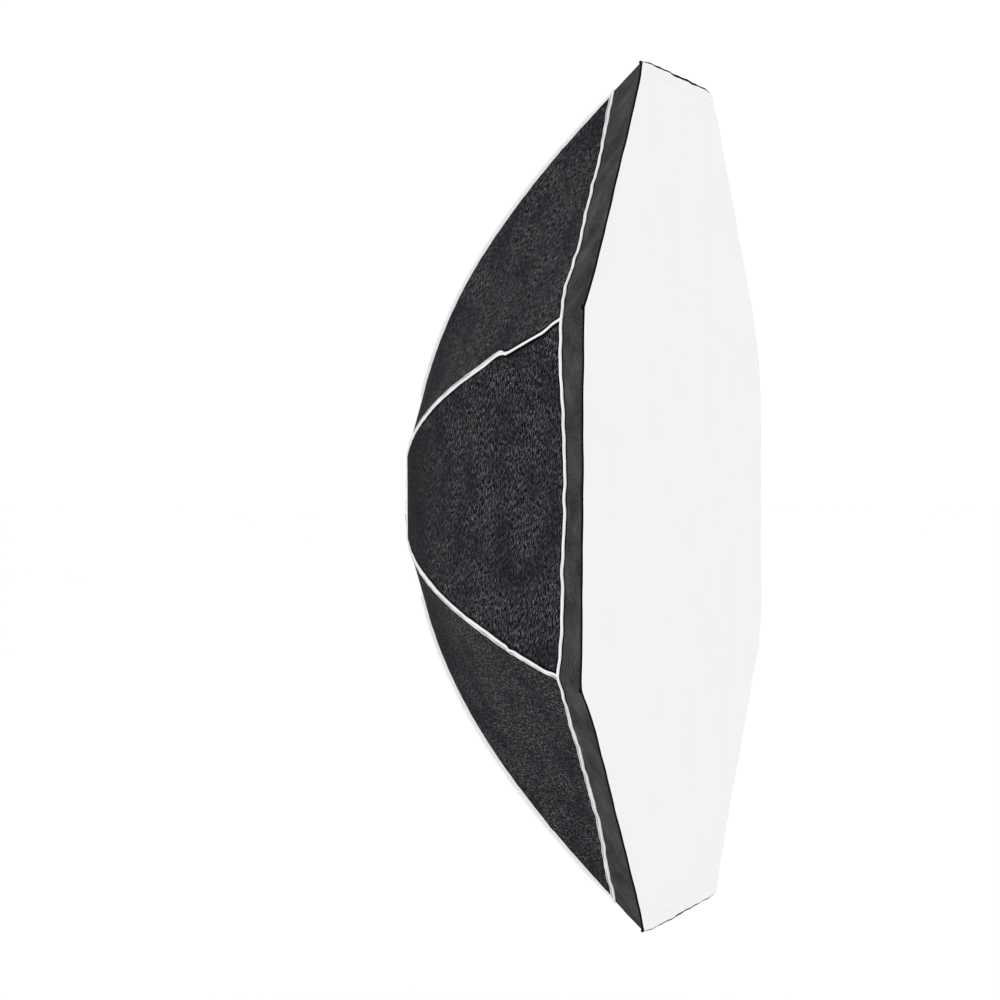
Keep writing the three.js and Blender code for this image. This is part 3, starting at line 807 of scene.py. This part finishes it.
def zone_share(zone, panel, t, side):
    """The share of the rib that lies a fraction t of the way through the canopy or through the lip."""
    lip = lip_line(panel, side)
    if zone == "canopy":
        return t * lip
    low = lip + BETWEEN_PIECES / RIB_LENGTH
    return low + t * (rim_line(panel, side) - low)


def nominal_share(zone, t):
    """The same as zone_share for seams that don't stray."""
    return t * LIP_SHARE if zone == "canopy" else LIP_SHARE + t * (1 - LIP_SHARE)


def seam_distance(zone, panel, share, side):
    """How far a point is from the nearest piping or hem: on the canopy the ribs, the back hem and the
    lip seam, and on the lip the lip seam and the rim."""
    to_lip = np.abs(share - lip_line(panel, side)) * RIB_LENGTH
    if zone == "lip":
        return np.minimum(to_lip, (rim_line(panel, side) - share) * RIB_LENGTH + 1.5 * MM)
    to_rib = (1 - np.abs(side)) * half_width(share)
    return np.minimum(np.minimum(to_lip, share * RIB_LENGTH), to_rib)


ZONES = {
    "canopy": {"low": 0.0, "high": LIP_SHARE, "rows": 170, "columns": 45, "turned": 1},
    "lip": {"low": LIP_SHARE, "high": 1.0, "rows": 36, "columns": 81, "turned": 0},
}
SKINS = {"canopy": [CANOPY, LINING], "lip": [LIP, LIP]}
SIDE_STEPS = np.concatenate([np.linspace(-1, -0.02, 16), [-0.0005, 0.0005], np.linspace(0.02, 1, 16)])


def corner_strip(zone, corner):
    """The cloth along one rib, out to the strip's edge on both sides, bent over the rib like a roof."""
    facts = ZONES[zone]
    t = np.linspace(0, 1, facts["rows"])[:, None]
    off = SIDE_STEPS[None, :] * strip_side(nominal_share(zone, t))
    before, after = panels_beside(corner)
    side_before, side_after = 1 + np.minimum(off, 0), -1 + np.maximum(off, 0)
    share_before = zone_share(zone, before, t, side_before)
    share_after = zone_share(zone, after, t, side_after)
    points = round_corner(corner, share_before, share_after, off)
    is_before = off < 0
    uv = np.where(is_before[..., None], grain(before, share_before, side_before, facts["turned"]),
                  grain(after, share_after, side_after, facts["turned"]))
    seam = np.where(is_before, seam_distance(zone, before, share_before, side_before),
                    seam_distance(zone, after, share_after, side_after))
    away = place(1.0, 0.0, -0.6, corner_azimuth(corner))
    piece = shell(f"{zone}_rib_{corner}", points, away, CLOTH, SKINS[zone], uv, seam)
    area = flat_area(facts["low"], facts["high"], lambda s: 2 * strip_width(s))
    return piece


def panel_span(zone, panel):
    """The cloth of one panel between the strips on its two ribs, which widens towards the rim."""
    facts = ZONES[zone]
    t = np.linspace(0, 1, facts["rows"])[:, None]
    side = np.linspace(-1, 1, facts["columns"])[None, :] * span_side(nominal_share(zone, t))
    share = zone_share(zone, panel, t, side)
    points = cloth_point(panel, share, side)
    uv = grain(panel, share, side, facts["turned"])
    away = place(1.0, 0.0, -0.6, panel_middle(panel))
    seam = seam_distance(zone, panel, share, side)
    piece = shell(f"{zone}_span_{panel}", points, away, CLOTH, SKINS[zone], uv, seam)
    area = flat_area(facts["low"], facts["high"], lambda s: 2 * (half_width(s) - strip_width(s)))
    return piece


# ---- Piping and hems ----
def piping_section():
    """Half-round at both edges with a sunk middle, and flat underneath: offsets as shares of the width,
    heights, a share round the top for the colour, and a half-round crown from 0 at both edges to 1 in
    the middle."""
    turn = np.linspace(0, 1, 13)
    edge = np.minimum(turn, 1 - turn)
    height = PIPING_HEIGHT * np.sqrt(np.clip(1 - (1 - np.minimum(edge / 0.22, 1)) ** 2, 0, 1))
    height = height - PIPING_SINKS * np.exp(-(((turn - 0.5) / 0.16) ** 2))
    crown = np.sqrt(np.clip(4 * turn * (1 - turn), 0, 1))
    off = np.concatenate([turn - 0.5, [0.35, -0.35]])
    height = np.concatenate([height, [PIPING_UNDERSIDE, PIPING_UNDERSIDE]])
    return off, height, np.concatenate([turn, [0.7, 0.3]]), np.concatenate([crown, [0, 0]])


SECTION_OFF, SECTION_HEIGHT, SECTION_TURN, SECTION_CROWN = piping_section()


def section_uv(along):
    """Metres along the tape, and the share round its top."""
    return np.stack(np.broadcast_arrays(along[:, None], SECTION_TURN[None, :]), -1)


def fold_shade_mark(seed, along, narrow, shows=1.0):
    """How much painted shade shows in the piping's sunk middle, where its fold stands open: uneven along
    the tape, and closed up where the tape is narrow."""
    open_ = 0.75 + 0.6 * waves(seed, along, 0 * along, [0.029, 0.055, 0.12])
    fold_shade = shows * np.clip(open_ * smooth(narrow, 0.55, 0.85), 0, 1)
    return {"fold_shade": np.repeat(fold_shade, len(SECTION_OFF))}


def rib_piping(corner):
    """The tape sewn over a rib seam, from the back hem to the lip seam. Its width wavers, it is pinched
    at its kink and narrower after it, and its end is tucked to a point over the lip's tape. Where the
    seam's welt stands up under it, the tape is carried up on a round crown."""
    end = LIP_SHARE + LIP_AT_CORNER[corner - 1] / RIB_LENGTH
    share = np.linspace(0.004, end + PIPING_TUCK / RIB_LENGTH, 230)
    along = share * RIB_LENGTH
    kink = KINK_SHARE[corner - 1] + 0.012
    size = 1 + 0.13 * waves(300 + corner, along, 0 * along, [0.043, 0.083, 0.19])
    size = size * (1 - (1 - NARROW_AFTER[corner - 1]) * smooth(share, kink, kink + 0.02))
    size = size * (1 - 0.45 * np.exp(-(((share - kink) / 0.008) ** 2)))
    size = size * (1 - 0.85 * smooth(share, end, end + PIPING_TUCK / RIB_LENGTH))
    offset = SECTION_OFF[None, :] * (PIPING_WIDTH * size)[:, None]
    side_off = offset / half_width(share)[:, None]
    lift = SECTION_HEIGHT[None, :] * (0.55 + 0.45 * np.minimum(size, 1.1))[:, None]
    lift = lift + PIPING_OVERLAP * smooth(share, end - 0.02, end)[:, None]
    stands = WELT_STANDS[corner - 1] * smooth(share, 0.0, 0.02)
    stands = stands * (1 - 0.75 * smooth(share, end - 0.1, end))
    lift = lift + SECTION_CROWN[None, :] * stands[:, None]
    points = round_corner(corner, share[:, None], share[:, None], side_off, lift)
    # Painted shade in the tape's open fold, fainter where the welt stands up.
    marks = fold_shade_mark(310 + corner, along, size, WELT_FOLD_SHADE if WELT_STANDS[corner - 1] else 1.0)
    return bead(f"rib_piping_{corner}", points, PIPING, section_uv(along), marks=marks)


def lip_tape_width(panel, side):
    """The lip tape's width, eased from its first value to its second within the first third, and
    wavering."""
    width = side * half_width(LIP_SHARE)
    eased = smooth(side, -0.9, -0.35)
    size = LIP_TAPE_START[panel - 1] + (LIP_TAPE_END[panel - 1] - LIP_TAPE_START[panel - 1]) * eased
    return size * (1 + 0.1 * waves(360 + panel, width, 0 * width, [0.038, 0.071, 0.16]) * (1 - side**8))


def lip_tape_grid(panel, side):
    """Shares and lifts of the lip's tape at each side, and how narrow it is against the rib piping."""
    size = lip_tape_width(panel, side)
    share = lip_line(panel, side)[:, None] + SECTION_OFF[None, :] * size[:, None] / RIB_LENGTH
    lift = SECTION_HEIGHT[None, :] * (0.55 + 0.45 * size / PIPING_WIDTH)[:, None]
    return share, lift, size / PIPING_WIDTH


HALF_CORNER = np.linspace(0.08, 1, 16)
NEAR_CORNER = np.concatenate([-HALF_CORNER[::-1], np.linspace(-0.06, 0.06, 7), HALF_CORNER])


def lip_piping_corner(corner):
    """The lip seam's tape round one corner."""
    off = NEAR_CORNER * strip_side(LIP_SHARE)
    before, after = panels_beside(corner)
    share_before, lift_before, narrow_before = lip_tape_grid(before, 1 + np.minimum(off, 0))
    share_after, lift_after, narrow_after = lip_tape_grid(after, -1 + np.maximum(off, 0))
    is_before = (off < 0)[:, None]
    lift = np.where(is_before, lift_before, lift_after)
    points = round_corner(corner, share_before, share_after, off[:, None], lift)
    along = off * half_width(LIP_SHARE)
    narrow = np.where(off < 0, narrow_before, narrow_after)
    marks = fold_shade_mark(380 + corner, along, narrow)
    return bead(f"lip_piping_corner_{corner}", points, PIPING, section_uv(along), marks=marks)


def lip_piping_span(panel):
    """The lip seam's tape between two corners."""
    side = np.linspace(-1, 1, 120) * span_side(LIP_SHARE)
    share, lift, narrow = lip_tape_grid(panel, side)
    points = cloth_point(panel, share, side[:, None], lift)
    along = side * half_width(LIP_SHARE)
    marks = fold_shade_mark(390 + panel, along, narrow)
    return bead(f"lip_piping_span_{panel}", points, PIPING, section_uv(along), marks=marks)


def back_hem():
    """The tape round the back opening: one closed loop of eight straight sides."""
    side = np.linspace(-1, 1, 25)[:-1]
    share = (SECTION_OFF[None, :] + 0.2) * PIPING_WIDTH / RIB_LENGTH + 0 * side[:, None]
    lift = np.broadcast_to(SECTION_HEIGHT[None, :], share.shape)
    panels = range(1, SIDES + 1)
    points = np.concatenate([cloth_point(panel, share, side[:, None], lift) for panel in panels])
    along = np.arange(len(points)) * (side[1] - side[0]) * half_width(0.0)
    marks = fold_shade_mark(399, along, np.ones(len(along)))
    return bead("back_hem_piping", points, PIPING, section_uv(along), closed=True, marks=marks)


def roll_section():
    """A round roll, a little flattened, as offsets back from the rim and heights over the cloth."""
    turn = np.linspace(0, 2 * math.pi, 11)[:-1]
    return HEM_ROLL * (np.cos(turn) - 1.15), HEM_ROLL * 0.95 * np.sin(turn) - CLOTH / 2


ROLL_PAST, ROLL_HEIGHT = roll_section()


def roll_uv(along):
    """Metres along the hem and round it."""
    round_hem = np.linspace(0, 8 * MM, len(ROLL_PAST))
    return np.stack(np.broadcast_arrays(along[:, None], round_hem[None, :]), -1)


def rim_hem_corner(corner):
    """The black hem round one corner of the rim."""
    off = NEAR_CORNER * strip_side(1.0)
    rims = line_at_corner(rim_line, corner, off)
    before, after = (rim[:, None] + ROLL_PAST / RIB_LENGTH for rim in rims)
    points = round_corner(corner, before, after, off[:, None], np.broadcast_to(ROLL_HEIGHT, before.shape))
    return bead(f"rim_hem_corner_{corner}", points, HEM, roll_uv(off * half_width(1.0)))


def rim_hem_span(panel):
    """The black hem of the rim between two corners."""
    side = np.linspace(-1, 1, 70) * span_side(1.0)
    share = rim_line(panel, side)[:, None] + ROLL_PAST / RIB_LENGTH
    points = cloth_point(panel, share, side[:, None], np.broadcast_to(ROLL_HEIGHT, share.shape))
    return bead(f"rim_hem_span_{panel}", points, HEM, roll_uv(side * half_width(1.0)))


# ---- Diffuser and baffle ----
def beside_rim(panel, side):
    """The diffuser's edge along one panel's rim: over the hem's roll, stopping a little short of its
    outside."""
    on_rim = cloth_point(panel, rim_line(panel, side), side)
    across = on_rim * [1, 0, 1]
    size = np.linalg.norm(across, axis=-1, keepdims=True)
    width = side * half_width(1.0)
    short = RIM_HEM_SHOWS + (HEM_SHOWS[panel - 1] - RIM_HEM_SHOWS) * (1 - side**6)
    short = short * (1 + 0.35 * waves(740 + panel, width, 0 * width, [0.09, 0.2, 0.4]) * (1 - side**6))
    return on_rim - across / size * short[..., None] - np.array([0, FRONT_OF_HEM, 0])


def rim_edge(corner, w):
    """The diffuser's edge from the middle of the flat before a corner, at w = -1, round the corner to
    the middle of the next flat, at w = 1."""
    before, after = panels_beside(corner)
    first = beside_rim(before, 1 + np.minimum(w, 0))
    second = beside_rim(after, -1 + np.maximum(w, 0))
    return np.where((w < 0)[..., None], first, second)


def flat_edge(corner, w, corner_radius, depth):
    """A plain octagon's edge, with w as for the rim."""
    before, after = panels_beside(corner)
    half = corner_radius * math.sin(HALF_STEP)
    flat = corner_radius * math.cos(HALF_STEP)
    first = place(flat, (1 + np.minimum(w, 0)) * half, depth, panel_middle(before))
    second = place(flat, (-1 + np.maximum(w, 0)) * half, depth, panel_middle(after))
    return np.where((w < 0)[..., None], first, second)


EIGHTH_SIDES = np.concatenate([np.linspace(-1, 0, 31), np.linspace(0, 1, 31)[1:]])


def eighth(name, corner, edge, depth, bulge, material, radius):
    """One eighth of an octagonal sheet, between the middles of two flats and out to a corner: each
    point lies a share of the way from the axis to the edge. It bulges forwards most at the axis, and
    thin folds run in from its corner."""
    share = (np.linspace(0, 1, 26) ** 0.8)[:, None, None]
    outer = edge[None, :, :]
    centre = np.array([0.0, -depth, 0.0])
    points = centre * (1 - share) + outer * share
    turn = EIGHTH_SIDES[None, :] * HALF_STEP
    folds = waves(500 + corner, turn * radius, 0 * turn, [0.021, 0.034]) * np.exp(-((turn / 0.10) ** 2))
    folds = CORNER_FOLDS * folds * smooth(share[..., 0], 0.6, 0.97)
    points[..., 1] -= bulge * (1 - share[..., 0] ** 2) + folds
    uv = np.stack([points[..., 0], points[..., 2]], -1)
    seam = (1 - share[..., 0]) * radius + 0 * turn
    forwards = np.array([0.0, -1.0, 0.0])
    piece = shell(name, points, forwards, SHEET_THICK, [material, material], uv, seam, reach=1e-6)
    return piece


def corner_tack(corner):
    """A few turns of black thread over the rim at a corner: a small pillow, round in every section."""
    turns = np.linspace(0, 2 * math.pi, 15)[:-1]
    across, round_ = np.meshgrid(np.linspace(0, 1, 13), turns, indexing="ij")
    swell = np.sqrt(np.clip(1.03 - (2 * across - 1) ** 4, 0, 1))
    rim = rim_edge(corner, np.array([0.0]))[0] + np.array([0, FRONT_OF_HEM + TACK_BEHIND, 0])
    out = place(1.0, 0.0, 0.0, corner_azimuth(corner))
    along = place(0.0, 1.0, 0.0, corner_azimuth(corner))
    points = rim + (2 * across - 1)[..., None] * along * TACK_REACH
    points = points + (swell * np.cos(round_) - 0.2)[..., None] * out * TACK_THICK
    points = points + (swell * np.sin(round_))[..., None] * np.array([0.0, 1.0, 0.0]) * TACK_DEEP
    uv = np.stack([across * 0.0064, round_ * 0.0015], -1)
    return bead(f"corner_tack_{corner}", points, HEM, uv)


# ---- Rods ----
def rod_line(corner):
    """The middle of a rod as radius and depth: straight out of its socket, then along the inside of the
    rib, which it draws nearer to over the first two fifths, and it stops short of the rim."""
    share = np.linspace(ROD_STARTS, 1 - ROD_STOPS_SHORT / RIB_LENGTH, 60)
    radius, depth, slope = rib(share)
    inset = ROD_INSET - ROD_NEARS_RIB * np.minimum(1, share / 0.4)
    line = np.stack([radius - inset * np.cos(slope), depth + inset * np.sin(slope)], 1)
    pivot = pivot_of(corner)
    way = (line[0] - pivot) / np.linalg.norm(line[0] - pivot)
    inside = pivot + way * ROD_LEAVES_PIVOT
    lead = inside + (line[0] - inside) * np.linspace(0, 1, 8)[:-1, None]
    return np.concatenate([lead, line])


def pivot_of(corner):
    """Radius and depth of a ring socket's hinge, from the frame's joint."""
    joint = next(j for j in frame["joints"] if j["name"] == f"rod_fold_{corner}")
    x, y, z = joint["pos_m"]
    return np.array([math.hypot(x, z), -y])


def rod(corner):
    """A round bar along the rod's line, a little narrower at its two ends."""
    line = rod_line(corner)
    ahead = np.gradient(line, axis=0)
    ahead = ahead / np.linalg.norm(ahead, axis=1, keepdims=True)
    turn = np.linspace(0, 2 * math.pi, 17)[:-1]
    size = np.full(len(line), ROD_RADIUS)
    size[0] = ROD_IN_SOCKET
    size[-1] = ROD_TIP
    out = line[:, None, 0] - ahead[:, None, 1] * size[:, None] * np.cos(turn)[None, :]
    deep = line[:, None, 1] + ahead[:, None, 0] * size[:, None] * np.cos(turn)[None, :]
    across = size[:, None] * np.sin(turn)[None, :]
    along = np.concatenate([[0], np.cumsum(np.linalg.norm(np.diff(line, axis=0), axis=1))])
    uv = np.stack(np.broadcast_arrays(along[:, None], turn[None, :] / (2 * math.pi)), -1)
    return bead(f"rod_bar_{corner}", place(out, across, deep, corner_azimuth(corner)), ROD, uv)


# ---- The turned insert ----
def turned_insert():
    """The insert's turned body: one closed profile with small chamfers, carried once round the axis."""
    length = -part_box("mount_insert")[0].y
    near, far = INSERT_FLANGE
    c = INSERT_CHAMFER
    profile = np.array([
        [INSERT_BORE, c], [INSERT_BORE + c, 0], [INSERT_WALL - c, 0], [INSERT_WALL, c],
        [INSERT_WALL, near], [INSERT_RIM - c, near], [INSERT_RIM, near + c],
        [INSERT_RIM, far - c], [INSERT_RIM - c, far], [INSERT_WALL, far],
        [INSERT_WALL, length - c], [INSERT_WALL - c, length],
        [INSERT_BORE + c, length], [INSERT_BORE, length - c],
    ])
    turn = np.linspace(0, 2 * math.pi, 181)[:-1]
    points = place(profile[None, :, 0], 0.0, profile[None, :, 1] + 0 * turn[:, None], turn[:, None])
    uv = np.stack(np.broadcast_arrays(turn[:, None] * INSERT_WALL, profile[None, :, 1]), -1)
    return bead("insert_turning", points, INSERT, uv, closed=True, sharp=CHAMFER_SHARP)


def insert_lug(number):
    """One bayonet lug: a chamfered bar section carried along a short arc, drawn in a little at both
    ends. It starts a hair in front of the insert's rear face."""
    middle = math.pi / 2 + number * 2 * math.pi / LUGS
    turn = np.linspace(-1, 1, 25)
    ease = LUG_CHAMFER * np.clip((np.abs(turn) - 0.95) / 0.05, 0, 1)
    near, far = LUG_CHAMFER, LUG_THICK - LUG_CHAMFER
    radius = np.array([LUG_FROM, LUG_TO - LUG_CHAMFER, LUG_TO, LUG_TO, LUG_TO - LUG_CHAMFER, LUG_FROM])
    depth = np.array([0, 0, near, far, LUG_THICK, LUG_THICK])
    draws_in = np.array([0, 1, 1, 1, 1, 0])
    reach = radius[None, :] - draws_in[None, :] * ease[:, None]
    azimuth = middle + turn[:, None] * LUG_HALF_TURN
    points = place(reach, 0.0, depth[None, :] + LUG_FORWARD + 0 * reach, azimuth)
    uv = np.stack(np.broadcast_arrays(turn[:, None] * LUG_HALF_TURN * LUG_TO, depth[None, :]), -1)
    return bead(f"insert_lug_{number}", points, INSERT, uv, sharp=CHAMFER_SHARP)


# ---- Assembly of the pieces made here ----
def ride_arm(corner):
    """The pieces that stay on one rod, and the canopy strip and the rib's tape, which are left where they
    are built, on no body.
    """
    arm = f"rod_arm_{corner}"
    radius, depth, _ = rib(np.array([0.0, BLEND_SHARE]))
    start, end = place(radius, np.zeros(2), depth, corner_azimuth(corner))
    tape = rib_piping(corner)
    for piece in (corner_strip("canopy", corner), tape):
        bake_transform(piece)
    lip = corner_strip("lip", corner)
    seam = lip_piping_corner(corner)
    hem = rim_hem_corner(corner)
    bar = rod(corner)
    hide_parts(f"rod_{corner}")
    for piece in (lip, seam, hem, bar):
        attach(piece, arm)


def ride_panel(panel):
    """The pieces between two rods, on a body of their own for the panel."""
    cloth = panel_span("canopy", panel)
    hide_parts(f"canopy_panel_{panel}")
    lip = panel_span("lip", panel)
    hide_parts("lip_band")
    seam = lip_piping_span(panel)
    hem = rim_hem_span(panel)
    azimuth = panel_middle(panel)
    sideways = tuple(place(0.0, 1.0, 0.0, azimuth))
    anchor = tuple(place(RIM_RADIUS, 0.0, RIM_DEPTH, azimuth))
    for piece in (cloth, lip, seam, hem):
        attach(piece, f"panel_{panel}")
        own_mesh(piece)


def ride_front(corner):
    """The diffuser's and the baffle's eighth at one corner."""
    sideways = tuple(place(0.0, 1.0, 0.0, corner_azimuth(corner)))
    anchor = tuple(place(RIM_RADIUS, 0.0, RIM_DEPTH, corner_azimuth(corner)))
    edge = rim_edge(corner, EIGHTH_SIDES)
    front = eighth(f"diffuser_{corner}", corner, edge, RIM_DEPTH + FRONT_OF_HEM, DIFFUSER_BULGE, DIFFUSER,
                   RIM_RADIUS)
    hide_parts("front_diffuser")
    tack = corner_tack(corner)
    for piece in (front, tack):
        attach(piece, f"pocket_{corner}")
        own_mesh(piece)
    low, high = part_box("inner_baffle")
    depth, reach = -(low.y + high.y) / 2 + BAFFLE_FORWARD, high.x / math.cos(HALF_STEP)
    edge = flat_edge(corner, EIGHTH_SIDES, reach, depth)
    back = eighth(f"baffle_{corner}", corner, edge, depth, BAFFLE_BULGE, BAFFLE, reach)
    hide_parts("inner_baffle")
    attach(back, f"rod_arm_{corner}")
    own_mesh(back)


for number in range(1, SIDES + 1):
    ride_arm(number)
    ride_panel(number)
    ride_front(number)
hem = back_hem()
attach(hem, "speedring")
for piece in [turned_insert()] + [insert_lug(number) for number in range(LUGS)]:
    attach(piece, "flash_insert")
    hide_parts("mount_insert")


# ---- CAD nodes that are shown as they are ----
def finish_node(name, material):
    """A CAD node, shown in one material."""
    piece = frame["nodes"][name]
    for slot in piece.material_slots:
        slot.material = material
    if not piece.material_slots:
        piece.data.materials.append(material)


finish_node("speedring_body", CASTING)
finish_node("retaining_ring", CASTING)
finish_node("lock_knob", MOULDED)
for k in range(1, 5):
    finish_node(f"retaining_screw_{k}", STEEL)
for k in range(1, SIDES + 1):
    finish_node(f"ring_socket_{k}", MOULDED)
    finish_node(f"hinge_pin_{k}", STEEL)
    finish_node(f"corner_pocket_{k}", MOULDED)
    finish_node(f"baffle_strap_{k}", ELASTIC)


# ---- Camera, floor and lights ----
def make_camera():
    """The camera stands off the back hem's middle along its view's back axis, moved aside so that the
    softbox stands right of the middle of the picture."""
    a, e = CAMERA_AZIMUTH, CAMERA_ELEVATION
    back = np.array([math.sin(a) * math.cos(e), -math.cos(a) * math.cos(e), math.sin(e)])
    right = np.cross(-back, [0, 0, 1])
    right = right / np.linalg.norm(right)
    up = np.cross(right, -back)
    c, s = math.cos(CAMERA_ROLL), math.sin(CAMERA_ROLL)
    right, up = c * right + s * up, c * up - s * right
    target = np.array([0, -CAMERA_TARGET_DEPTH, 0])
    spot = target + back * CAMERA_DISTANCE + right * CAMERA_ASIDE - up * CAMERA_BELOW
    data = bpy.data.cameras.new("camera")
    data.lens = CAMERA_LENS
    data.sensor_width = 36
    data.clip_end = 200
    camera = bpy.data.objects.new("camera", data)
    turn = Matrix([[right[i], up[i], back[i]] for i in range(3)]).to_4x4()
    camera.matrix_world = Matrix.Translation(spot.tolist()) @ turn
    bpy.context.scene.collection.objects.link(camera)
    bpy.context.scene.camera = camera


def make_floor():
    """A wide pale disc."""
    turn = np.linspace(0, 2 * math.pi, 97)[:-1]
    x, y = FLOOR_RADIUS * np.cos(turn), FLOOR_RADIUS * np.sin(turn)
    ring = np.stack([x, y, np.full_like(turn, FLOOR_Z)], 1)
    mesh = bpy.data.meshes.new("floor")
    mesh.from_pydata(ring.tolist(), [], [list(range(len(turn)))])
    n = Nodes("floor")
    cloud = n.noise(n.coordinates(), 0.6, 2.0)
    n.set(Base_Color=n.ramp(cloud, [(0.3, (0.94, 0.94, 0.94)), (0.7, (0.955, 0.955, 0.955))]))
    n.set(Roughness=0.9)
    mesh.materials.append(n.material)
    floor = bpy.data.objects.new("floor", mesh)
    bpy.context.scene.collection.objects.link(floor)


def area_light(name, spot, aim, size, power):
    """A rectangular light at a spot, turned towards its aim."""
    data = bpy.data.lights.new(name, "AREA")
    data.shape = "RECTANGLE"
    data.size, data.size_y = size
    data.energy = power
    light = bpy.data.objects.new(name, data)
    back = np.array(spot, float) - np.array(aim, float)
    back = back / np.linalg.norm(back)
    right = np.cross([0, 0, 1], back)
    right = right / np.linalg.norm(right)
    up = np.cross(back, right)
    turn = Matrix([[right[i], up[i], back[i]] for i in range(3)]).to_4x4()
    light.matrix_world = Matrix.Translation(spot) @ turn
    bpy.context.scene.collection.objects.link(light)


def make_light():
    """An even white room, a soft light from the ring's side and two weak fills."""
    scene = bpy.context.scene
    world = bpy.data.worlds.new("studio")
    world.use_nodes = True
    sky = world.node_tree.nodes["Background"]
    sky.inputs["Color"].default_value = (1, 1, 1, 1)
    sky.inputs["Strength"].default_value = WORLD_LEVEL
    scene.world = world
    scene.view_settings.view_transform = "Standard"
    scene.view_settings.look = "None"
    area_light("key", (-3.4, 1.1, 0.7), (0, -0.15, 0), (1.6, 1.6), 20)
    area_light("low_fill", (-2.6, 0.6, -0.3), (0, -0.15, -0.1), (1.2, 0.8), 5)
    area_light("top", (0.2, 0.6, 3.2), (0, -0.15, 0), (1.6, 1.6), 3)


make_camera()
make_floor()
make_light()
